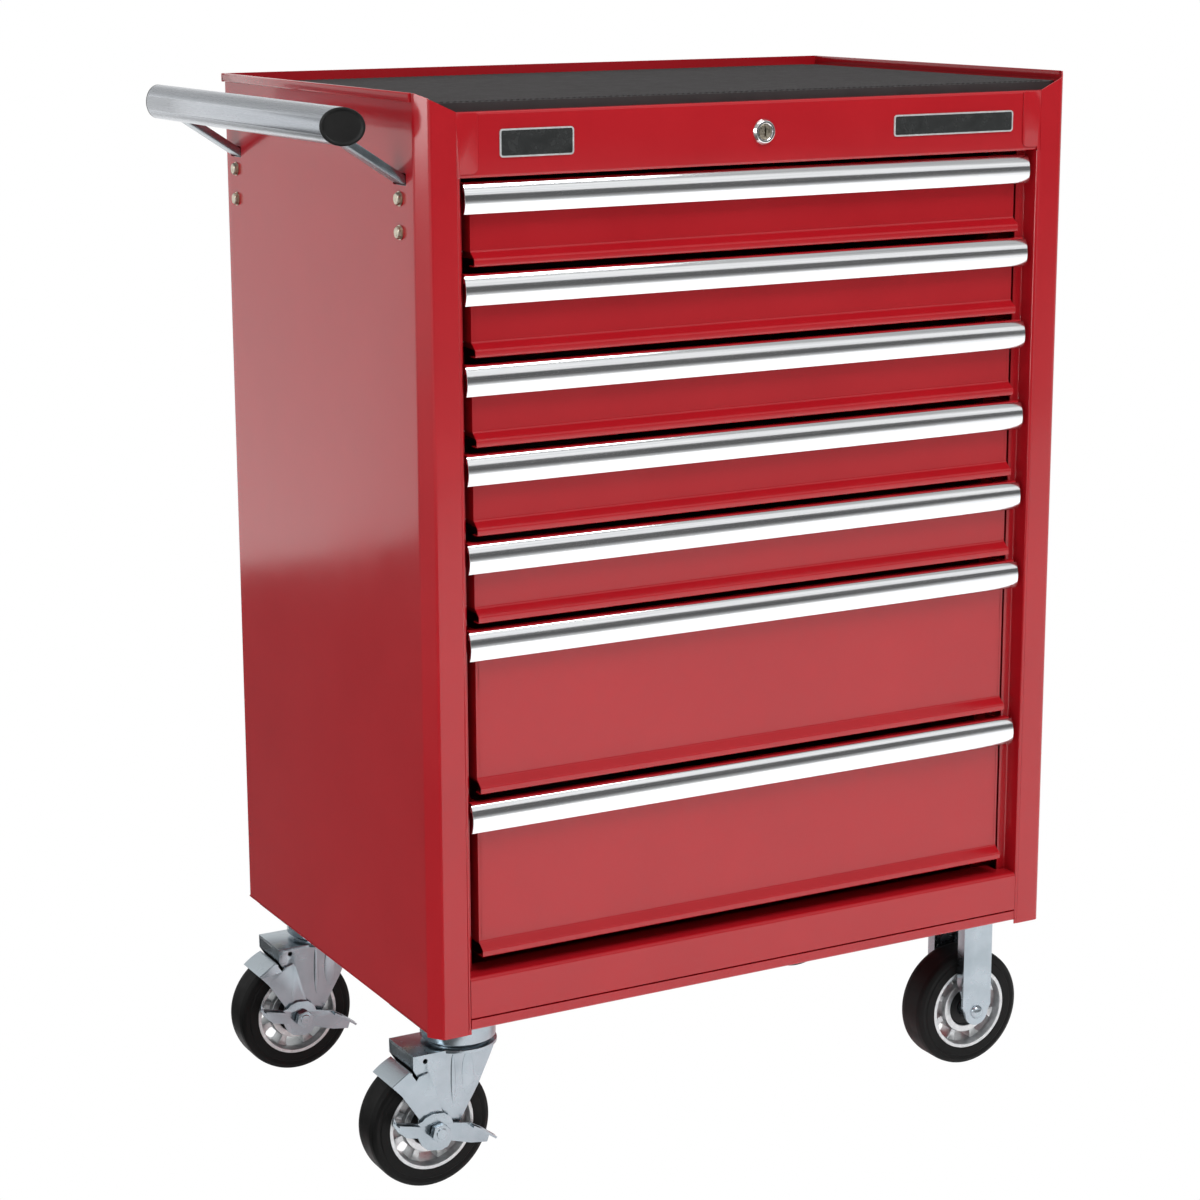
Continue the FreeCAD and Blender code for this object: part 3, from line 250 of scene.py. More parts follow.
# ---------------------------------------------------------------- shape helpers
def rounded(points, radius, steps=6, closed=False):
    """A polyline whose corners are turned into arcs."""
    points = [Vector(p) for p in points]
    count = len(points)
    radii = radius if isinstance(radius, (list, tuple)) else [radius] * count
    corners = range(count) if closed else range(1, count - 1)
    out = [] if closed else [points[0]]
    for i in corners:
        before, corner, after = points[i - 1], points[i], points[(i + 1) % count]
        back, on = before - corner, after - corner
        turn = math.pi - back.angle(on)
        if turn < 0.02 or radii[i] <= 0:
            out.append(corner)
            continue
        reach = min(radii[i] * math.tan(turn / 2), 0.49 * min(back.length, on.length))
        r = reach / math.tan(turn / 2)
        start = corner + back.normalized() * reach
        middle = (back.normalized() + on.normalized()).normalized()
        centre = corner + middle * (r / math.cos(turn / 2))
        arm = start - centre
        sign = 1 if back.x * on.y - back.y * on.x < 0 else -1
        for k in range(steps + 1):
            angle = sign * turn * k / steps
            c, s = math.cos(angle), math.sin(angle)
            out.append(centre + Vector((arm.x * c - arm.y * s, arm.x * s + arm.y * c)))
    if not closed:
        out.append(points[-1])
    return out


def edge_normals(path):
    """Left-hand normal at each point of an open path."""
    out = []
    for i, _ in enumerate(path):
        a, b = path[max(i - 1, 0)], path[min(i + 1, len(path) - 1)]
        along = (b - a).normalized()
        out.append(Vector((-along.y, along.x)))
    return out


PLACES = {
    "x": lambda u, v, w: at(w, u, v),
    "y": lambda u, v, w: at(u, w, v),
    "z": lambda u, v, w: at(u, v, w),
}


def value_at(limit, index, point):
    """A limit that is one number, or a function of a path's point."""
    return limit(point) if callable(limit) else limit


def add_strip(mesh, path, gauge, axis, low, high):
    """Bent sheet: a path thickened by half a gauge each way and run along an axis."""
    place = PLACES[axis]
    rows = []
    for i, (point, normal) in enumerate(zip(path, edge_normals(path))):
        a, b = point + normal * gauge / 2, point - normal * gauge / 2
        lo, hi = value_at(low, i, point), value_at(high, i, point)
        rows.append([mesh.verts.new(place(*p, w)) for p, w in ((a, lo), (a, hi), (b, hi), (b, lo))])
    for first, second in zip(rows, rows[1:]):
        for k in range(4):
            mesh.faces.new((first[k], first[(k + 1) % 4], second[(k + 1) % 4], second[k]))
    mesh.faces.new(rows[0])
    mesh.faces.new(list(reversed(rows[-1])))


def add_prism(mesh, outline, axis, low, high):
    """A closed outline run along an axis."""
    place = PLACES[axis]
    ends = [[mesh.verts.new(place(*p, w)) for p in outline] for w in (low, high)]
    count = len(outline)
    for i in range(count):
        j = (i + 1) % count
        mesh.faces.new((ends[0][i], ends[0][j], ends[1][j], ends[1][i]))
    mesh.faces.new(ends[0])
    mesh.faces.new(list(reversed(ends[1])))


def add_lathe(mesh, outline, centre, steps=96):
    """Turn a closed outline of (along, radius) about the Y line through centre, a spot in mm."""
    middle = at(*centre)
    rings = []
    for k in range(steps):
        angle = 2 * math.pi * k / steps
        c, s = math.cos(angle), math.sin(angle)
        rings.append([mesh.verts.new(middle + Vector((radius * c, along, radius * s)) * MM)
                      for along, radius in outline])
    count = len(outline)
    for k in range(steps):
        a, b = rings[k], rings[(k + 1) % steps]
        for i in range(count):
            j = (i + 1) % count
            mesh.faces.new((a[i], a[j], b[j], b[i]))


def mesh_object(name, mesh, crease=35):
    """An object from a bmesh, doubles merged, faces outwards and edges over crease sharp."""
    bmesh.ops.remove_doubles(mesh, verts=mesh.verts, dist=1e-7)
    bmesh.ops.dissolve_degenerate(mesh, edges=mesh.edges, dist=1e-7)
    bmesh.ops.recalc_face_normals(mesh, faces=mesh.faces)
    data = bpy.data.meshes.new(name)
    mesh.to_mesh(data)
    mesh.free()
    data.shade_smooth()
    data.set_sharp_from_angle(angle=math.radians(crease))
    item = bpy.data.objects.new(name, data)
    bpy.context.scene.collection.objects.link(item)
    return item


def baked(item, crease=35):
    """Turn an object's modifiers into its mesh."""
    bpy.context.view_layer.update()
    graph = bpy.context.evaluated_depsgraph_get()
    data = bpy.data.meshes.new_from_object(item.evaluated_get(graph))
    item.modifiers.clear()
    item.data = data
    data.shade_smooth()
    data.set_sharp_from_angle(angle=math.radians(crease))
    return item


def soften(item, width=0.5, segments=2, angle=32):
    """Round an object's edges over by a bevel."""
    bevel = item.modifiers.new("edge_break", "BEVEL")
    bevel.width = width * MM
    bevel.segments = segments
    bevel.limit_method = "ANGLE"
    bevel.angle_limit = math.radians(angle)
    bevel.use_clamp_overlap = True
    bevel.miter_outer = "MITER_ARC"
    return baked(item, 50)


def cut(item, cutter):
    """Take one closed mesh out of another."""
    hole = item.modifiers.new("opening", "BOOLEAN")
    hole.operation = "DIFFERENCE"
    hole.solver = "EXACT"
    hole.object = cutter
    baked(item)
    bpy.data.objects.remove(cutter)
    return item


def join(items, name):
    """One object from several."""
    mesh = bmesh.new()
    for item in items:
        mesh.from_mesh(item.data)
        bpy.data.objects.remove(item)
    data = bpy.data.meshes.new(name)
    mesh.to_mesh(data)
    mesh.free()
    data.shade_smooth()
    data.set_sharp_from_angle(angle=math.radians(35))
    item = bpy.data.objects.new(name, data)
    bpy.context.scene.collection.objects.link(item)
    return item


def fit(item, body, material, *nodes):
    """Give a piece its finish and its body, and say which nodes it stands for."""
    item.data.materials.clear()
    item.data.materials.append(finish(material))
    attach(item, body)
    if nodes:
        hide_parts(*nodes)
    return item


def dress(node, material):
    """Put a finish on a node that is shown as it is."""
    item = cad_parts[node]
    item.data.materials.clear()
    item.data.materials.append(finish(material))


def clean_copy(node, name):
    """A merged copy of a node's mesh, its flat faces made whole."""
    mesh = bmesh.new()
    mesh.from_mesh(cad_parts[node].data)
    bmesh.ops.remove_doubles(mesh, verts=mesh.verts, dist=2e-6)
    bmesh.ops.dissolve_limit(mesh, angle_limit=math.radians(0.6), verts=mesh.verts,
                             edges=mesh.edges)
    return mesh_object(name, mesh)


def group_inputs(tree, wanted):
    """Named inputs of a Geometry Nodes tree, each (name, socket type, default)."""
    face = tree.interface
    face.new_socket("Geometry", in_out="OUTPUT", socket_type="NodeSocketGeometry")
    face.new_socket("Geometry", in_out="INPUT", socket_type="NodeSocketGeometry")
    for name, kind, default in wanted:
        socket = face.new_socket(name, in_out="INPUT", socket_type=kind)
        if default is not None:
            socket.default_value = default


def copies_tree():
    """Geometry Nodes: a template on every point of a mesh, or turned round one point."""
    name = "place_copies"
    if name in bpy.data.node_groups:
        return bpy.data.node_groups[name]
    tree = bpy.data.node_groups.new(name, "GeometryNodeTree")
    group_inputs(tree, [
        ("Template", "NodeSocketObject", None),
        ("First Turn", "NodeSocketVector", (0.0, 0.0, 0.0)),
        ("Turn Per Copy", "NodeSocketVector", (0.0, 0.0, 0.0)),
        ("Finish", "NodeSocketMaterial", None),
    ])
    given = add_node(tree, "NodeGroupInput").outputs
    shape = add_node(tree, "GeometryNodeObjectInfo", {"Object": given["Template"]},
                     transform_space="ORIGINAL")
    index = add_node(tree, "GeometryNodeInputIndex")
    step = add_node(tree, "ShaderNodeVectorMath",
                    {0: given["Turn Per Copy"], "Scale": index.outputs[0]}, operation="SCALE")
    turn = add_node(tree, "ShaderNodeVectorMath",
                    {0: given["First Turn"], 1: step.outputs[0]}, operation="ADD")
    placed = add_node(tree, "GeometryNodeInstanceOnPoints",
                      {"Points": given["Geometry"], "Instance": shape.outputs["Geometry"],
                       "Rotation": turn.outputs[0]})
    real = add_node(tree, "GeometryNodeRealizeInstances",
                    {"Geometry": placed.outputs["Instances"]})
    painted = add_node(tree, "GeometryNodeSetMaterial",
                       {"Geometry": real.outputs["Geometry"], "Material": given["Finish"]})
    add_node(tree, "NodeGroupOutput", {"Geometry": painted.outputs["Geometry"]})
    return tree


def run_tree(name, tree, data, values):
    """A plain mesh object made by a Geometry Nodes tree from a mesh and named inputs."""
    item = bpy.data.objects.new(name, data)
    bpy.context.scene.collection.objects.link(item)
    modifier = item.modifiers.new("make", "NODES")
    modifier.node_group = tree
    for socket in tree.interface.items_tree:
        if socket.item_type == "SOCKET" and socket.in_out == "INPUT" and socket.name in values:
            modifier[socket.identifier] = values[socket.name]
    return baked(item)


def copies(name, template, spots, material, turn=(0, 0, 0), step=(0, 0, 0)):
    """Copies of a template, built round the origin in metres, at spots in the frame."""
    data = bpy.data.meshes.new(name)
    data.from_pydata([tuple(s) for s in spots], [], [])
    item = run_tree(name, copies_tree(), data, {
        "Template": template, "First Turn": turn, "Turn Per Copy": step,
        "Finish": finish(material)})
    bpy.data.objects.remove(template)
    return item


def hex_bolt(across, height, washer, washer_height, shank, shank_length):
    """A bolt along +Z from its seat at the origin: washer, chamfered head and shank."""
    mesh = bmesh.new()
    half = across / 2
    steps = 24
    top = washer_height + height
    rings = []
    for level, crown in ((washer_height, False), (top - height * 0.2, False), (top, True)):
        ring = []
        for k in range(steps):
            angle = 2 * math.pi * k / steps
            wedge = (angle % (math.pi / 3)) - math.pi / 6
            flat = across / math.sqrt(3) * math.cos(math.pi / 6) / math.cos(wedge)
            r = half * 0.93 if crown else min(flat, half * 1.155)
            spot = Vector((r * math.cos(angle), r * math.sin(angle), level))
            ring.append(mesh.verts.new(spot * MM))
        rings.append(ring)
    for low, high in zip(rings, rings[1:]):
        for k in range(steps):
            mesh.faces.new((low[k], low[(k + 1) % steps], high[(k + 1) % steps], high[k]))
    mesh.faces.new(rings[-1])
    mesh.faces.new(list(reversed(rings[0])))
    for r, z0, z1 in ((washer, 0.0, washer_height), (shank, -shank_length, 0.0)):
        if r:
            bmesh.ops.create_cone(mesh, segments=steps, radius1=r * MM, radius2=r * MM,
                                  cap_ends=True, depth=(z1 - z0) * MM,
                                  matrix=Matrix.Translation((0, 0, (z0 + z1) / 2 * MM)))
    return mesh_object("bolt_template", mesh, 30)


# ---------------------------------------------------------------- cabinet
def panel_pieces(name, across):
    """One folded side sheet with its stile, return, tab and rolled rim."""
    half = GAUGE / 2
    body = rounded([(across(16), DEPTH - half), (across(half), DEPTH - half),
                    (across(half), CUT_Y + 0.3), (across(CUT_X + 0.25), half), (across(34), half)],
                   [0, 2.0, 5.0, 5.0, 0], 8)

    corner_drop, corner_run = 5.0, 25.0

    def rim(point):
        x, y = point
        x = x if across(0) == 0 else WIDTH - x
        if y > CUT_Y:
            return HEIGHT - 0.2
        if x < CUT_X:
            return HEIGHT - corner_drop * (CUT_Y - y) / CUT_Y
        fall = (HEIGHT - corner_drop - HEADER_TOP) / corner_run
        return max(HEADER_TOP, HEIGHT - corner_drop - (x - CUT_X) * fall)

    def foot(point):
        return SIDE_LIFT if point[1] > CUT_Y + 1.6 else 0.0

    mesh = bmesh.new()
    add_strip(mesh, body, GAUGE, "z", foot, rim)
    sheet = mesh_object(name, mesh)
    mesh = bmesh.new()
    back = STILE - half
    deep = RETURN_DEPTH + half
    inner = rounded([(across(34), half), (across(back), half), (across(back), deep),
                     (across(STILE + 9.5), deep)], [0, 2.2, 2.2, 0], 8)
    add_strip(mesh, inner, GAUGE, "z", SIDE_LIFT, OPENING_TOP)
    add_prism(mesh, [(across(34), 0), (across(STILE), 0),
                     (across(STILE), SIDE_LIFT), (across(34), SIDE_LIFT)], "y", 0, GAUGE)
    tab = STILE + TAB_WIDTH
    tab_outline = rounded([(34, OPENING_TOP), (STILE, OPENING_TOP), (STILE, OPENING_TOP + 3.5),
                           (tab, OPENING_TOP + 3.5), (tab, HEADER_TOP), (34, HEADER_TOP)],
                          [0, 0, 0, 6.0, 3.0, 0], 8, closed=True)
    add_prism(mesh, [(across(x), z) for x, z in tab_outline], "y", 0, GAUGE)
    # Rolled rim, cut square at its front end.
    bead = rounded([(across(1.25), HEIGHT), (across(-HEM_PROUD), HEIGHT),
                    (across(-HEM_PROUD), HEIGHT - BEAD_HEIGHT),
                    (across(1.25), HEIGHT - BEAD_HEIGHT)],
                   [0, BEAD_RADIUS, BEAD_RADIUS, 0], 6, closed=True)
    add_prism(mesh, bead, "y", CUT_Y + 4, DEPTH + 0.5)
    return sheet, soften(mesh_object(name + "_edges", mesh), 0.35, 2, 40)


def build_side_panels():
    """The two side sheets; the left one has the bracket slots and bolt holes."""
    left, left_edges = panel_pieces("left_side_sheet", lambda x: x)
    half = bracket_middles()[0] - span("push_handle_brackets")[0].y + 0.5
    for middle in bracket_middles():
        mesh = bmesh.new()
        slot = rounded([(middle - half, 756.5), (middle + half, 756.5),
                        (middle + half, 767), (middle - half, 767)], 1.0, 4, closed=True)
        add_prism(mesh, slot, "x", -2, 3)
        cut(left, mesh_object("slot_cutter", mesh))
    left = join([left, left_edges], "left_side_sheet")
    fit(left, "cabinet", "gloss_red_powder_coat", "left_side_panel")
    right, right_edges = panel_pieces("right_side_sheet", lambda x: WIDTH - x)
    right = join([right, right_edges], "right_side_sheet")
    fit(right, "cabinet", "gloss_red_powder_coat", "right_side_panel")


def bracket_middles():
    """Y of the two handle brackets' middles, in mm."""
    low, high = span("push_handle_bolts")
    return low.y + 5.8, high.y - 5.8


def build_back_and_header():
    """Back sheet with its rolled rim, header over the drawers and the deck."""
    mesh = bmesh.new()
    add_prism(mesh, [(GAUGE + 0.1, DEPTH - 2 * GAUGE), (WIDTH - GAUGE - 0.1, DEPTH - 2 * GAUGE),
                     (WIDTH - GAUGE - 0.1, DEPTH - GAUGE), (GAUGE + 0.1, DEPTH - GAUGE)],
              "z", SIDE_LIFT, HEIGHT - 0.2)
    bead = rounded([(DEPTH - GAUGE - 0.05, HEIGHT), (DEPTH + HEM_PROUD, HEIGHT),
                    (DEPTH + HEM_PROUD, HEIGHT - BEAD_HEIGHT),
                    (DEPTH - GAUGE - 0.05, HEIGHT - BEAD_HEIGHT)],
                   [0, BEAD_RADIUS, BEAD_RADIUS, 0], 6, closed=True)
    add_prism(mesh, bead, "x", -HEM_PROUD, WIDTH + HEM_PROUD)
    fit(mesh_object("back_sheet", mesh), "cabinet", "gloss_red_powder_coat", "back_panel")

    mesh = bmesh.new()
    face = GAUGE * 1.5
    path = rounded([(12, HEADER_TOP - GAUGE / 2), (face, HEADER_TOP - GAUGE / 2),
                    (face, OPENING_TOP + GAUGE / 2), (22, OPENING_TOP + GAUGE / 2)],
                   [0, 2.0, 2.0, 0], 8)
    low, high = span("front_header")
    add_strip(mesh, path, GAUGE, "x", low.x, high.x)
    header = mesh_object("header_sheet", mesh)
    mesh = bmesh.new()
    lock = lock_centre()
    bmesh.ops.create_cone(mesh, segments=48, radius1=9.6 * MM, radius2=9.6 * MM, depth=12 * MM,
                          cap_ends=True, matrix=Matrix.Translation(at(*lock))
                          @ Matrix.Rotation(math.pi / 2, 4, "X"))
    cut(header, mesh_object("lock_cutter", mesh))
    fit(header, "cabinet", "gloss_red_powder_coat", "front_header")
    dress("top_deck", "gloss_red_powder_coat")


def build_top_mat():
    """Rubber mat: a thin sheet with fine raised ribs from front to back."""
    low, high = span("top_mat")
    base = high.z - 0.9
    mesh = bmesh.new()
    corners = [(low.x + 15, low.y), (high.x - 15, low.y), (high.x, low.y + CUT_Y), (high.x, high.y),
               (low.x, high.y), (low.x, low.y + CUT_Y)]
    add_prism(mesh, corners, "z", low.z, base)
    sheet = mesh_object("mat_sheet", mesh)
    count = int((high.x - low.x - 34) / RIB_PITCH)
    mesh = bmesh.new()
    depth = (high.y - low.y - 8) / 2 * MM
    section = [(-1.7, -0.1), (-1.1, 0.8), (1.1, 0.8), (1.7, -0.1)]
    ends = [[mesh.verts.new((x * MM, y, z * MM)) for x, z in section] for y in (-depth, depth)]
    for i in range(3):
        mesh.faces.new((ends[0][i], ends[0][i + 1], ends[1][i + 1], ends[1][i]))
    mesh.faces.new((ends[0][3], ends[0][0], ends[1][0], ends[1][3]))
    mesh.faces.new(ends[0])
    mesh.faces.new(list(reversed(ends[1])))
    rib = mesh_object("rib_template", mesh, 20)
    start = (low.x + high.x - (count - 1) * RIB_PITCH) / 2
    middle = (low.y + high.y) / 2
    spots = [at(start + k * RIB_PITCH, middle, base) for k in range(count)]
    ribs = copies("mat_ribs", rib, spots, "ribbed_rubber")
    fit(join([sheet, ribs], "ribbed_top_mat"), "cabinet", "ribbed_rubber", "top_mat")


def build_lower_front():
    """Rail under the drawers and the base with its turned-up lip."""
    low, high = span("lower_front_rail")
    half = GAUGE / 2
    mesh = bmesh.new()
    rail = rounded([(18.2, high.z - half), (low.y + half, high.z - half),
                    (low.y + half, low.z + half), (14.4, low.z + half)], [0, 3.0, 2.0, 0], 10)
    add_strip(mesh, rail, GAUGE, "x", low.x, high.x)
    left, right = low.x + 11, high.x - 11
    shelf = [(left, RETURN_DEPTH), (right, RETURN_DEPTH), (right, high.y), (left, high.y)]
    add_prism(mesh, shelf, "z", high.z - GAUGE, high.z)
    fit(mesh_object("lower_rail_sheet", mesh), "cabinet", "gloss_red_powder_coat",
        "lower_front_rail")
    low, high = span("base_panel")
    lip_top = 13.3
    mesh = bmesh.new()
    lip = rounded([(0.4 + half, lip_top), (0.4 + half, low.z + half), (25, low.z + half)],
                  [0, 2.2, 0], 8)
    add_strip(mesh, lip, GAUGE, "x", STILE + 0.2, WIDTH - STILE - 0.2)
    front = CUT_Y + 2 * GAUGE
    plate = [(STILE + 0.2, 2 * GAUGE + 2), (WIDTH - STILE - 0.2, 2 * GAUGE + 2),
             (WIDTH - STILE - 0.2, 2 * GAUGE), (WIDTH - CUT_X - 6, 2 * GAUGE),
             (WIDTH - 2 * GAUGE, front),
             (WIDTH, front), (WIDTH, DEPTH), (0, DEPTH), (0, front), (2 * GAUGE, front),
             (CUT_X + 6, 2 * GAUGE), (STILE + 0.2, 2 * GAUGE)]
    add_prism(mesh, plate, "z", low.z + 0.02, low.z + GAUGE)
    for x in (GAUGE + 0.1, WIDTH - 2 * GAUGE - 0.1):
        add_prism(mesh, [(x, 25), (x + GAUGE, 25), (x + GAUGE, DEPTH - 10), (x, DEPTH - 10)],
                  "z", low.z, low.z + 20)
    fit(mesh_object("base_sheet", mesh), "cabinet", "gloss_red_powder_coat", "base_panel")


def build_inner_frame():
    """Uprights, stiffening channels and the fixed slide rails keep their packed shapes."""
    dress("slide_uprights", "gloss_red_powder_coat")
    dress("base_channels", "gloss_red_powder_coat")
    dress("cabinet_slide_rails", "drawn_slide_steel")


# ---------------------------------------------------------------- drawers
def drawer_levels(number):
    """Trim top and lower edge of a drawer, in mm."""
    return span(f"drawer_{number}_trim")[1].z, span(f"drawer_{number}")[0].z


def build_drawers():
    """Each drawer: folded top, pan-shaped front with a stepped lower edge, and a tray."""
    half = THIN / 2
    tray_x = 58.7
    for number in DRAWERS:
        top, low = drawer_levels(number)
        node_low, node_high = span(f"drawer_{number}")
        mesh = bmesh.new()
        hood_x = node_low.x
        front_x = hood_x + 8.0
        hood = rounded([(8.6, top - 5), (8.6, top + 0.6), (15, top + 0.6)], [0, 1.4, 0], 6)
        add_strip(mesh, hood, GAUGE, "x", hood_x, WIDTH - hood_x)
        face = rounded([(14.5, top + 0.2), (14.5, low + 12.2), (6.5, low + 6.2), (6.5, low + half),
                        (16, low + half)], [0, 3.5, 2.4, 1.6, 0], 8)
        add_strip(mesh, face, THIN, "x", front_x, WIDTH - front_x)
        # Short returns at the two ends of the front.
        for across in (lambda x: x, lambda x: WIDTH - x):
            edge = rounded([(across(front_x + 3), 14.5), (across(front_x + half), 14.5),
                            (across(front_x + half), 34)], [0, 1.4, 0], 5)
            add_strip(mesh, edge, THIN, "z", low + 12, top)
        floor, rim = low + 4, top - 10
        wall = rounded([(tray_x + 6, rim - half), (tray_x + half, rim - half),
                        (tray_x + half, floor + half),
                        (WIDTH - tray_x - half, floor + half),
                        (WIDTH - tray_x - half, rim - half),
                        (WIDTH - tray_x - 6, rim - half)], [0, 1.6, 2.0, 2.0, 1.6, 0], 6)
        add_strip(mesh, wall, THIN, "y", 15, node_high.y)
        rear = rounded([(node_high.y - 7, rim - half), (node_high.y - half, rim - half),
                        (node_high.y - half, floor + THIN)], [0, 1.6, 0], 6)
        add_strip(mesh, rear, THIN, "x", tray_x + THIN, WIDTH - tray_x - THIN)
        inner = rounded([(20, rim - half), (15 + half, rim - half), (15 + half, floor + THIN)],
                        [0, 1.6, 0], 6)
        add_strip(mesh, inner, THIN, "x", tray_x + THIN, WIDTH - tray_x - THIN)
        piece = mesh_object(f"drawer_{number}_folded", mesh)
        fit(piece, f"drawer_{number}", "gloss_red_powder_coat", f"drawer_{number}")


def build_trims():
    """Curved extruded pulls with a soft top shoulder, hooked behind the folded top."""
    for number in DRAWERS:
        top, _ = drawer_levels(number)
        low, high = span(f"drawer_{number}_trim")
        head, toe = Vector((6.5, top)), Vector((5.5, low.z))
        middle = (head + toe) / 2
        chord = head - toe
        reach = math.sqrt(TRIM_RADIUS ** 2 - (chord.length / 2) ** 2)
        centre = middle + Vector((chord.y, -chord.x)).normalized() * reach
        if centre.x < middle.x:
            centre = middle * 2 - centre
        start = math.atan2(head.y - centre.y, head.x - centre.x)
        end = math.atan2(toe.y - centre.y, toe.x - centre.x) % (2 * math.pi)
        outer = []
        inner = []
        steps = 24
        for k in range(steps + 1):
            angle = start + (end - start) * k / steps
            ray = Vector((math.cos(angle), math.sin(angle)))
            outer.append(centre + ray * TRIM_RADIUS)
            inner.append(centre + ray * (TRIM_RADIUS - TRIM_WALL))
        outline = [Vector((8.0, top - 0.05))] + outer + [inner[-1]] + list(reversed(inner[5:-1]))
        outline += [Vector((7.9, top - 6.4)), Vector((8.0, top - 6.0))]
        mesh = bmesh.new()
        add_prism(mesh, outline, "x", low.x, high.x)
        piece = mesh_object(f"drawer_{number}_pull", mesh, 28)
        piece = soften(piece, 0.35, 2, 45)
        fit(piece, f"drawer_{number}", "bright_aluminium_extrusion", f"drawer_{number}_trim")


def build_slides():
    """Moving slide members, which keep their packed shapes."""
    for number in DRAWERS:
        dress(f"drawer_{number}_slides", "drawn_slide_steel")


# ---------------------------------------------------------------- lock and plates
def lock_centre():
    """Middle of the lock on the header, in mm."""
    low, high = span("lock_housing")
    return (low + high).x / 2, 0.0, (low + high).z / 2


def build_lock():
    """Chromed bezel and barrel, and a turning plug with a key slot and a cam."""
    centre = lock_centre()
    low, high = span("lock_housing")
    mesh = bmesh.new()
    add_lathe(mesh, rounded([(low.y + 1.0, 6.7), (low.y, 7.6), (low.y, 9.6), (GAUGE, 11.5),
                             (GAUGE, 9.5), (high.y, 9.5), (high.y, 6.7)],
                            [0.3, 0.4, 1.0, 0.2, 0, 0.4, 0.2], 5, closed=True), centre)
    fit(mesh_object("lock_barrel", mesh, 30), "cabinet", "chrome_plate", "lock_housing")
    low, high = span("lock_cylinder")
    mesh = bmesh.new()
    add_lathe(mesh, rounded([(low.y, 0.01), (low.y, 6.4), (low.y + 0.5, 6.5), (high.y - 2, 6.5),
                             (high.y - 2, 0.01)], [0, 0.2, 0, 0, 0], 4, closed=True), centre)
    plug = mesh_object("lock_plug_turned", mesh, 30)
    mesh = bmesh.new()
    x, _, z = centre
    slot = rounded([(x - 0.8, z - 3.8), (x + 0.8, z - 3.8), (x + 0.8, z - 1.0), (x + 0.45, z),
                    (x + 0.8, z + 1.4), (x + 0.8, z + 3.8), (x - 0.8, z + 3.8), (x - 0.8, z - 1.0)],
                   0.25, 3, closed=True)
    add_prism(mesh, slot, "y", low.y - 1, low.y + 8)
    cut(plug, mesh_object("key_cutter", mesh))
    mesh = bmesh.new()
    cam = rounded([(x - 5, z - 23), (x + 5, z - 23), (x + 6.5, z + 6.5), (x - 6.5, z + 6.5)],
                  [4.5, 4.5, 6.0, 6.0], 8, closed=True)
    add_prism(mesh, cam, "y", high.y - 2, high.y)
    fit(join([plug, mesh_object("lock_cam", mesh)], "lock_plug_and_cam"), "lock_plug",
        "nickel_flashed_brass", "lock_cylinder")


def build_name_plates():
    """Two blank plates: black enamel field, silver line and edge; no lettering."""
    _, _, z = lock_centre()
    pieces = {"edge": [], "field": []}
    for x, length, height in ((75.0, 71.0, 24.0), (WIDTH - 199.0, 133.0, 19.5)):
        def plate(inset, radius):
            low, high = z - height / 2 + inset, z + height / 2 - inset
            left, right = x + inset, x + length - inset
            corners = [(left, low), (right, low), (right, high), (left, high)]
            return rounded(corners, radius, 6, closed=True)

        mesh = bmesh.new()
        add_ring(mesh, plate(0.0, 3.0), plate(1.4, 2.0), "y", 0.25, GAUGE)
        pieces["edge"].append(mesh_object("plate_edge", mesh))
        mesh = bmesh.new()
        add_prism(mesh, plate(1.5, 1.5), "y", 0.2, 0.9)
        pieces["field"].append(mesh_object("plate_field", mesh))
    fit(join(pieces["edge"], "name_plate_edges"), "cabinet", "silver_plate_edge", "name_plates")
    fit(join(pieces["field"], "name_plate_fields"), "cabinet", "black_plate_enamel")


def add_ring(mesh, outline, inner, axis, low, high):
    """The band between two outlines with the same number of points, run along an axis."""
    place = PLACES[axis]
    count = len(outline)
    loops = [[mesh.verts.new(place(*p, w)) for p in ring]
             for ring, w in ((outline, low), (outline, high), (inner, high), (inner, low))]
    for k in range(4):
        a, b = loops[k], loops[(k + 1) % 4]
        for i in range(count):
            j = (i + 1) % count
            mesh.faces.new((a[i], a[j], b[j], b[i]))


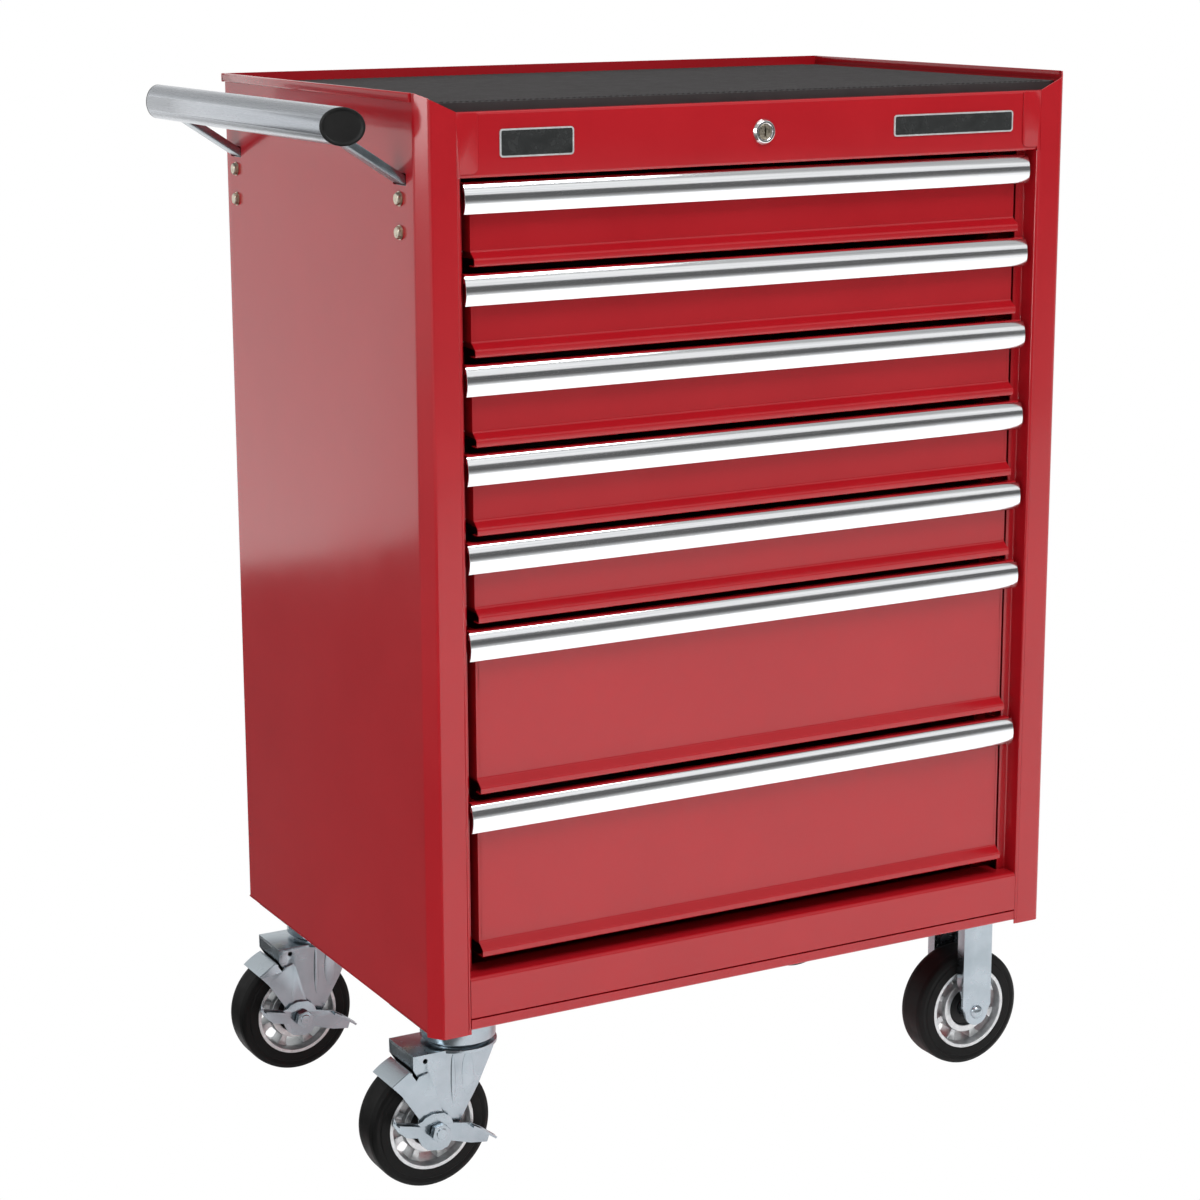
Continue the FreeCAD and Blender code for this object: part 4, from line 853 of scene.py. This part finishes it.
# ---------------------------------------------------------------- push handle
def build_push_handle():
    """Satin tube with slanted ends, domed oval caps, and two bent steel brackets."""
    low, high = span("push_handle_tube")
    cap_low, cap_high = span("push_handle_end_caps")
    x, z = (low.x + high.x) / 2, (low.z + high.z) / 2
    middle = (cap_low.y + cap_high.y) / 2
    radius = (high.x - low.x) / 2
    half = (cap_high.y - cap_low.y) / 2 - radius * TUBE_SLANT
    steps = 96

    def ring(mesh, r, along, end):
        out = []
        for k in range(steps):
            angle = 2 * math.pi * k / steps
            dx, dz = r * math.cos(angle), r * math.sin(angle)
            y = middle + end * (along + dx * TUBE_SLANT)
            out.append(mesh.verts.new(at(x + dx, y, z + dz)))
        return out

    def skin(mesh, rings):
        for a, b in zip(rings, rings[1:]):
            for k in range(steps):
                mesh.faces.new((a[k], a[(k + 1) % steps], b[(k + 1) % steps], b[k]))

    mesh = bmesh.new()
    wall = [(radius - TUBE_WALL, half - 2), (radius - 0.25, half - 2), (radius, half - 2.3)]
    rings = [ring(mesh, r, along, -1) for r, along in wall]
    rings += [ring(mesh, r, along, 1) for r, along in reversed(wall)]
    skin(mesh, rings + rings[:1])
    fit(mesh_object("handle_tube_satin", mesh, 30), "cabinet", "satin_chrome_tube",
        "push_handle_tube")
    mesh = bmesh.new()
    for end in (-1, 1):
        r = radius
        profile = [(r - 1.7, half - 10), (r - 1.7, half - 2), (r - 0.1, half - 2),
                   (r, half - 1.6), (r, half - 0.7), (r - 0.5, half - 0.15), (r - 1.3, half),
                   (r - 2.1, half - 0.15), (r - 2.7, half - 0.7), (r - 4.0, half - 0.75),
                   (r * 0.4, half - 0.35), (0.02, half - 0.25)]
        rings = [ring(mesh, rr, along, end) for rr, along in profile]
        skin(mesh, rings)
        mesh.faces.new(rings[0])
        mesh.faces.new(list(reversed(rings[-1])))
    fit(mesh_object("handle_caps_moulded", mesh, 40), "cabinet", "moulded_black_cap",
        "push_handle_end_caps")
    brackets = soften(clean_copy("push_handle_brackets", "handle_brackets_bent"), 0.7, 3)
    fit(brackets, "cabinet", "bright_zinc_plate", "push_handle_brackets")


def build_handle_bolts():
    """Four hexagon bolts with washers through the side, and their nuts inside."""
    low, high = span("push_handle_bolts")
    heights = (low.z + 5.02, high.z - 5.02)
    spots = [(y, z) for y in bracket_middles() for z in heights]
    outside = hex_bolt(9.6, 3.0, 6.4, 1.0, 3.0, 14.0)
    heads = copies("bolt_heads", outside, [at(0, y, z) for y, z in spots],
                   "passivated_fastener", turn=(0.0, -math.pi / 2, 0.0))
    inside = hex_bolt(9.6, 4.2, 0, 0.0, 0, 0.0)
    nuts = copies("bolt_nuts", inside, [at(GAUGE + 4, y, z) for y, z in spots],
                  "passivated_fastener", turn=(0.0, math.pi / 2, 0.0))
    fit(join([heads, nuts], "handle_bolts_and_nuts"), "cabinet", "passivated_fastener",
        "push_handle_bolts")


# ---------------------------------------------------------------- castors
FORK_TOP = -28.0  # top of the swivel forks, mm from the stile's foot
FORK_HALF = 26.0  # half width over a swivel fork's legs


def fork_pressings(left, middle):
    """End wall and pressed ribs of a swivel fork, from its left end and its middle line in mm."""
    mesh = bmesh.new()
    add_prism(mesh, [(left + 0.3, middle - 24.5), (left + 2.3, middle - 24.5),
                     (left + 2.3, middle + 24.5), (left + 0.3, middle + 24.5)],
              "z", FORK_TOP - 13.0, FORK_TOP - 2.0)
    # Each rib: its x from the left end, half width, half height and height off the leg.
    ribs = ((40.0, 2.4, 24.0, 1.0), (55.0, 6.0, 21.0, 0.7))
    for out in (-1, 1):
        for x, half_width, half_height, depth in ribs:
            place = Matrix.Translation(
                at(left + x, middle + out * FORK_HALF, FORK_TOP - 5.0 - half_height))
            size = Matrix.Diagonal((half_width * MM, depth * MM, half_height * MM, 1))
            bmesh.ops.create_uvsphere(mesh, u_segments=24, v_segments=16, radius=1.0,
                                      matrix=place @ size)
    return mesh_object("fork_pressings", mesh)


def build_castor_steel():
    """Castor plates, forks, axles and brakes: pressed steel with broken edges."""
    for node, name, body, width in (
            ("swivel_castor_plates", "swivel_plates_pressed", "cabinet", 0.7),
            ("rigid_castor_forks", "rigid_forks_pressed", "cabinet", 0.9),
            ("rigid_castor_axles", "rigid_axles_riveted", "cabinet", 0.4)):
        fit(soften(clean_copy(node, name), width, 3), body, "bright_zinc_plate", node)
    for side in SIDES:
        node = f"swivel_fork_{side}"
        low, high = span(node)
        fork = soften(clean_copy(node, f"swivel_fork_{side}_pressed"), 0.9, 3)
        pressings = fork_pressings(low.x, (low.y + high.y) / 2)
        fork = join([fork, pressings], f"swivel_fork_{side}_pressed")
        fit(fork, f"swivel_{side}", "bright_zinc_plate", node)
        for node, name, body, width in (
                (f"swivel_axle_{side}", f"swivel_axle_{side}_bolt", f"swivel_{side}", 0.5),
                (f"brake_shoe_{side}", f"brake_shoe_{side}_pressed", f"shoe_{side}", 0.6),
                (f"brake_pedal_{side}", f"brake_pedal_{side}_pressed", f"pedal_{side}", 0.7)):
            fit(soften(clean_copy(node, name), width, 3), body, "bright_zinc_plate", node)


def build_castor_bolts():
    """Sixteen castor bolts: heads under the plates, nuts inside the channels."""
    _, high = span("castor_mounting_bolts")
    spots = []
    for node in ("swivel_castor_plates", "rigid_castor_forks"):
        a, b = span(node)
        for x in (a.x + 12.5, a.x + 92.5):
            for y in (a.y + 12.5, a.y + 72.5, b.y - 72.5, b.y - 12.5):
                spots.append((x, y))
    plate_low = span("base_panel")[0].z - 3.0
    heads = copies("stud_heads", hex_bolt(12.4, 6.0, 0, 0.0, 3.9, 18.0),
                   [at(x, y, plate_low) for x, y in spots], "passivated_fastener",
                   turn=(math.pi, 0, 0))
    nuts = copies("stud_nuts", hex_bolt(12.4, 5.0, 0, 0.0, 0, 0.0),
                  [at(x, y, high.z - 6.0) for x, y in spots], "passivated_fastener")
    fit(join([heads, nuts], "castor_bolts_and_nuts"), "cabinet", "passivated_fastener",
        "castor_mounting_bolts")


def wheel_centre(name):
    """Middle of a wheel, in mm."""
    low, high = span(f"tyre_{name}")
    return (low + high) / 2


def lathe_piece(name, outlines, centre, steps=96):
    """One turned piece from closed outlines about a wheel's axle."""
    mesh = bmesh.new()
    for outline in outlines:
        add_lathe(mesh, outline, centre, steps)
    return mesh_object(name, mesh)


def tyre_outline():
    """Half round tread with a small groove above the bead, as (along, radius)."""
    half = [(17.5, 42.55), (17.5, 50.5), (16.6, 51.5), (17.2, 55.0), (15.5, 59.1), (10.5, 60.0)]
    soft = [0, 0.5, 0.8, 2.0, 3.0, 8.0]
    corners = [(-x, r) for x, r in half] + list(reversed(half))
    return rounded(corners, soft + soft[::-1], 5, closed=True)


def spoke_template():
    """One spoke along +Z, narrow at its middle."""
    mesh = bmesh.new()
    rows = []
    for r, w, t in ((26.0, 3.6, 8.5), (30.0, 3.2, 7.5), (35.0, 4.4, 8.0), (38.5, 7.0, 10.0)):
        rows.append([mesh.verts.new(Vector((sx * w, sy * t, r)) * MM)
                     for sx, sy in ((-1, -1), (1, -1), (1, 1), (-1, 1))])
    for a, b in zip(rows, rows[1:]):
        for k in range(4):
            mesh.faces.new((a[k], a[(k + 1) % 4], b[(k + 1) % 4], b[k]))
    mesh.faces.new(rows[0])
    mesh.faces.new(list(reversed(rows[-1])))
    return soften(mesh_object("spoke_template", mesh), 0.9, 3)


def cast_centre(name, centre):
    """Outer ring, hub ring and spokes of a wheel."""
    mesh = bmesh.new()
    outer = [(-17.5, 38.9), (-17.5, 42.1), (-16.9, 42.5), (16.9, 42.5), (17.5, 42.1),
             (17.5, 38.9), (9, 37.3), (-9, 37.3)]
    hub = [(-14, 20.2), (-14, 26.4), (-9, 27.4), (9, 27.4), (14, 26.4), (14, 20.2),
           (10.5, 19.6), (-10.5, 19.6)]
    add_lathe(mesh, rounded(outer, 0.4, 3, closed=True), centre, 128)
    add_lathe(mesh, rounded(hub, 0.5, 3, closed=True), centre)
    rings = mesh_object("rings", mesh)
    step = 2 * math.pi / SPOKES
    spokes = copies("spokes", spoke_template(), [at(*centre)] * SPOKES, "cast_aluminium",
                    turn=(0, step / 2, 0), step=(0, step, 0))
    return join([rings, spokes], f"wheel_centre_{name}_cast")


def build_wheels():
    """Rubber tyres on cast wheels with spokes and sealed bearings."""
    seals = [rounded([(s * 8, 9.6), (s * 11.5, 9.6), (s * 12, 12), (s * 12, 18.6),
                      (s * 11, 19.5), (s * 8, 19.5)], 0.3, 3, closed=True) for s in (-1, 1)]
    sleeve = rounded([(-21, 5.06), (-21, 8.6), (-20.4, 9.0), (20.4, 9.0), (21, 8.6),
                      (21, 5.06)], 0.2, 3, closed=True)
    for name in [f"{side}_{hand}" for side in SIDES for hand in ("left", "right")]:
        body = f"wheel_{name}"
        centre = wheel_centre(name)
        fit(lathe_piece(f"tyre_{name}_moulded", [tyre_outline()], centre, 128), body,
            "black_tyre_rubber", f"tyre_{name}")
        fit(cast_centre(name, centre), body, "cast_aluminium", f"wheel_rim_{name}")
        fit(lathe_piece(f"bearing_seals_{name}", seals, centre), body, "black_bearing_seal")
        fit(lathe_piece(f"wheel_sleeve_{name}", [sleeve], centre), body, "bright_zinc_plate")


# ---------------------------------------------------------------- stage
def glow(name, strength, colour="#ffffff"):
    """Light-giving card."""
    material = bpy.data.materials.new(name)
    material.use_nodes = True
    tree = material.node_tree
    tree.nodes.clear()
    shader = add_node(tree, "ShaderNodeEmission", {"Color": linear(colour), "Strength": strength})
    add_node(tree, "ShaderNodeOutputMaterial", {"Surface": shader.outputs["Emission"]})
    return material


def card(name, corners, material):
    """A flat card of the studio, seen only in reflections."""
    data = bpy.data.meshes.new(name)
    data.from_pydata([tuple(c) for c in corners], [], [tuple(range(len(corners)))])
    data.materials.append(material)
    item = bpy.data.objects.new(name, data)
    bpy.context.scene.collection.objects.link(item)
    item.visible_camera = False
    item.visible_shadow = False
    item.visible_diffuse = False
    return item


def upright(axis, across, start, end, low, high):
    """Corners of a standing card that faces along X or Y, in metres."""
    corners = [(start, low), (end, low), (end, high), (start, high)]
    return [(across, u, z) if axis == "X" else (u, across, z) for u, z in corners]


def fade_card(name, corners, axis, start, end, first, last):
    """A card whose glow goes from first at start to last at end along an axis, in m."""
    material = bpy.data.materials.new(name)
    material.use_nodes = True
    tree = material.node_tree
    tree.nodes.clear()
    place = add_node(tree, "ShaderNodeTexCoord").outputs["Object"]
    parts = add_node(tree, "ShaderNodeSeparateXYZ", {"Vector": place})
    ramp = add_node(tree, "ShaderNodeMapRange",
                    {"Value": parts.outputs[axis], "From Min": start, "From Max": end,
                     "To Min": first, "To Max": last}, interpolation_type="SMOOTHSTEP")
    shader = add_node(tree, "ShaderNodeEmission", {"Strength": ramp.outputs["Result"]})
    add_node(tree, "ShaderNodeOutputMaterial", {"Surface": shader.outputs["Emission"]})
    return card(name, corners, material)


def build_stage():
    """White floor and backdrop sweep, soft lights, dark front card and the camera."""
    scene = bpy.context.scene
    studio = scene.cabinet_studio
    scene.view_settings.view_transform = "Standard"
    world = bpy.data.worlds.new("studio_air")
    world.use_nodes = True
    world.node_tree.nodes["Background"].inputs["Color"].default_value = linear("#ffffff")
    world.node_tree.nodes["Background"].inputs["Strength"].default_value = studio.air
    scene.world = world
    # Floor that sweeps up far behind.
    mesh = bmesh.new()
    size, bend, radius, steps = 26.0, 9.0, 5, 16
    path = [(-size, 0.0), (0.0, 0.0), (bend, 0.0)]
    sweep = [(bend + radius * math.sin(a), radius - radius * math.cos(a)) for a in
             [math.pi / 2 * k / steps for k in range(1, steps + 1)]]
    rows = [[mesh.verts.new((x, y, z - 0.0005)) for x in (-size, size)] for y, z in path + sweep]
    for a, b in zip(rows, rows[1:]):
        mesh.faces.new((a[0], a[1], b[1], b[0]))
    floor = mesh_object("studio_floor", mesh)
    paper = make_finish("white_seamless_paper", "#fbfbfb", "#f7f7f7", 400.0, (0.9, 0.95),
                        **{"Emission Color": linear("#ffffff"), "Emission Strength": studio.paper})
    floor.data.materials.append(paper)
    floor.visible_camera = False
    # Pure white ground as the camera sees it, with no bounce of the paint in it.
    ground = floor.copy()
    ground.data = floor.data.copy()
    ground.name = "studio_white_ground"
    ground.data.materials.clear()
    ground.data.materials.append(glow("white_ground", 1.0))
    scene.collection.objects.link(ground)
    ground.visible_camera = True
    ground.visible_diffuse = ground.visible_glossy = ground.visible_shadow = False
    # Dark floor cards, seen only in the gloss of the side and the castors: a painted reflection of
    # shaded floor, its glow darker towards the cabinet as painted shade of the floor beside it.
    floor_corners = [(-5.0, -3.4, 0.0), (-0.36, -3.4, 0.0), (-0.36, 2.4, 0.0), (-5.0, 2.4, 0.0)]
    fade_card("floor_dark", floor_corners, "X", -3.6, -0.9, 0.50, 0.14)

    def area(name, spot, target, size_x, size_y, power, glossy=True):
        light = bpy.data.lights.new(name, "AREA")
        light.shape = "RECTANGLE"
        light.size, light.size_y, light.energy = size_x, size_y, power
        item = bpy.data.objects.new(name, light)
        item.location = spot
        item.rotation_euler = (Vector(spot) - Vector(target)).to_track_quat("Z", "Y").to_euler()
        item.visible_glossy = glossy
        scene.collection.objects.link(item)

    area("key_softbox", (0.3, -2.0, 4.2), (0, 0, 0.5), 2.0, 2.0, studio.key)
    area("overhead_softbox", (-0.2, 0.2, 4.2), (0, 0, 0.5), 3.0, 3.0, studio.overhead)
    # Dark end of the studio, seen in the header and as the dark band of the trims.
    front = CORNER.y - 3.0
    left, right, split, top = -1.8, 7.0, 1.75, 3.3
    fade_card("studio_dark_end", upright("Y", front, left, right, 0.0, split),
              "Z", 0.0, 0.75, 0.60, 0.12)
    # Bright upper end, the highlight along the shoulders of the trims.
    card("studio_bright_end", upright("Y", front, left, right, split, top),
         glow("bright_end_glow", studio.shoulder))
    card("left_strip", upright("X", -3.4, -1.5, -0.4, 0.72, 2.3), glow("strip_glow", studio.strip))

    camera = bpy.data.cameras.new("camera")
    camera.sensor_width = 36.0
    camera.lens = studio.lens
    camera.shift_x, camera.shift_y = studio.shift_x, studio.shift_y
    camera.clip_start, camera.clip_end = 0.05, 100.0
    item = bpy.data.objects.new("camera", camera)
    scene.collection.objects.link(item)
    az, el, roll = studio.azimuth, studio.elevation, studio.roll
    forward = Vector((math.sin(az) * math.cos(el), math.cos(az) * math.cos(el), -math.sin(el)))
    right = Vector((math.cos(az), -math.sin(az), 0))
    up = right.cross(forward)
    side = right * math.cos(roll) + up * math.sin(roll)
    top = -right * math.sin(roll) + up * math.cos(roll)
    turn = Matrix((side, top, -forward)).transposed().to_4x4()
    item.matrix_world = Matrix.Translation(at(*studio.spot)) @ turn
    scene.camera = item


# ---------------------------------------------------------------- settings, operators, panel
class CabinetColours(bpy.types.PropertyGroup):
    """Colours a user may change."""
    paint: FloatVectorProperty(name="Paint", description="Powder coat of the steelwork, as sRGB",
                               subtype="COLOR_GAMMA", size=3, min=0.0, max=1.0,
                               default=(0.655, 0.085, 0.120))


class CabinetStudio(bpy.types.PropertyGroup):
    """Camera and light."""
    azimuth: FloatProperty(name="Azimuth", description="Turn of the camera round the cabinet",
                           default=math.radians(27.92), unit="ROTATION")
    elevation: FloatProperty(name="Elevation", description="Camera's dip below the horizon",
                             default=math.radians(12.44), unit="ROTATION")
    roll: FloatProperty(name="Roll", description="Camera's turn about its own line of sight",
                        default=math.radians(-0.37), unit="ROTATION")
    lens: FloatProperty(name="Lens", description="Focal length in millimetres", default=84.68,
                        unit="CAMERA")
    shift_x: FloatProperty(name="Shift X", description="Sideways lens shift", default=0.0355)
    shift_y: FloatProperty(name="Shift Y", description="Upward lens shift", default=-0.0348)
    spot: FloatVectorProperty(name="Camera spot",
                              description="Camera in mm from the cabinet's corner",
                              size=3, default=(-1006.39, -2138.94, 961.6))
    air: FloatProperty(name="Air", description="Strength of the all-round light", default=0.50)
    key: FloatProperty(name="Key", description="Power of the softbox above the front",
                       default=104.0, unit="POWER")
    overhead: FloatProperty(name="Overhead", description="Power of the softbox above", default=30.0,
                            unit="POWER")
    paper: FloatProperty(name="Paper", description="Glow of the white paper", default=0.45)
    shoulder: FloatProperty(name="Shoulder",
                            description="Strength of the card for the trims' highlight",
                            default=1.0)
    strip: FloatProperty(name="Strip", description="Strength of the strip light at the left",
                         default=8.0)


def operator(work):
    """An operator class that runs one building function, named for what it makes."""
    name = work.__name__.removeprefix("build_")

    def execute(self, context):
        work()
        return {"FINISHED"}
    return type(f"CABINET_OT_{name}", (bpy.types.Operator,), {
        "bl_idname": f"cabinet.{name}", "bl_label": name.replace("_", " ").capitalize(),
        "__doc__": work.__doc__, "execute": execute})


OPERATORS = [operator(work) for work in (
    build_stage, build_side_panels, build_back_and_header, build_top_mat, build_lower_front,
    build_inner_frame, build_drawers, build_trims, build_slides, build_lock, build_name_plates,
    build_push_handle, build_handle_bolts, build_castor_steel, build_castor_bolts, build_wheels)]


class CABINET_PT_builder(bpy.types.Panel):
    """The cabinet's pieces, in the order they are made."""
    bl_label = "Tool Cabinet"
    bl_idname = "CABINET_PT_builder"
    bl_space_type = "VIEW_3D"
    bl_region_type = "UI"
    bl_category = "Tool Cabinet"

    def draw(self, context):
        self.layout.prop(context.scene.cabinet_colours, "paint")
        for item in OPERATORS:
            self.layout.operator(item.bl_idname)


CLASSES = [CabinetColours, CabinetStudio, *OPERATORS, CABINET_PT_builder]


def register():
    for item in CLASSES:
        bpy.utils.register_class(item)
    bpy.types.Scene.cabinet_colours = PointerProperty(type=CabinetColours)
    bpy.types.Scene.cabinet_studio = PointerProperty(type=CabinetStudio)


def unregister():
    del bpy.types.Scene.cabinet_studio
    del bpy.types.Scene.cabinet_colours
    for item in reversed(CLASSES):
        bpy.utils.unregister_class(item)


def main():
    register()
    for item in OPERATORS:
        group, name = item.bl_idname.split(".")
        getattr(getattr(bpy.ops, group), name)()


if __name__ == "__main__":
    main()
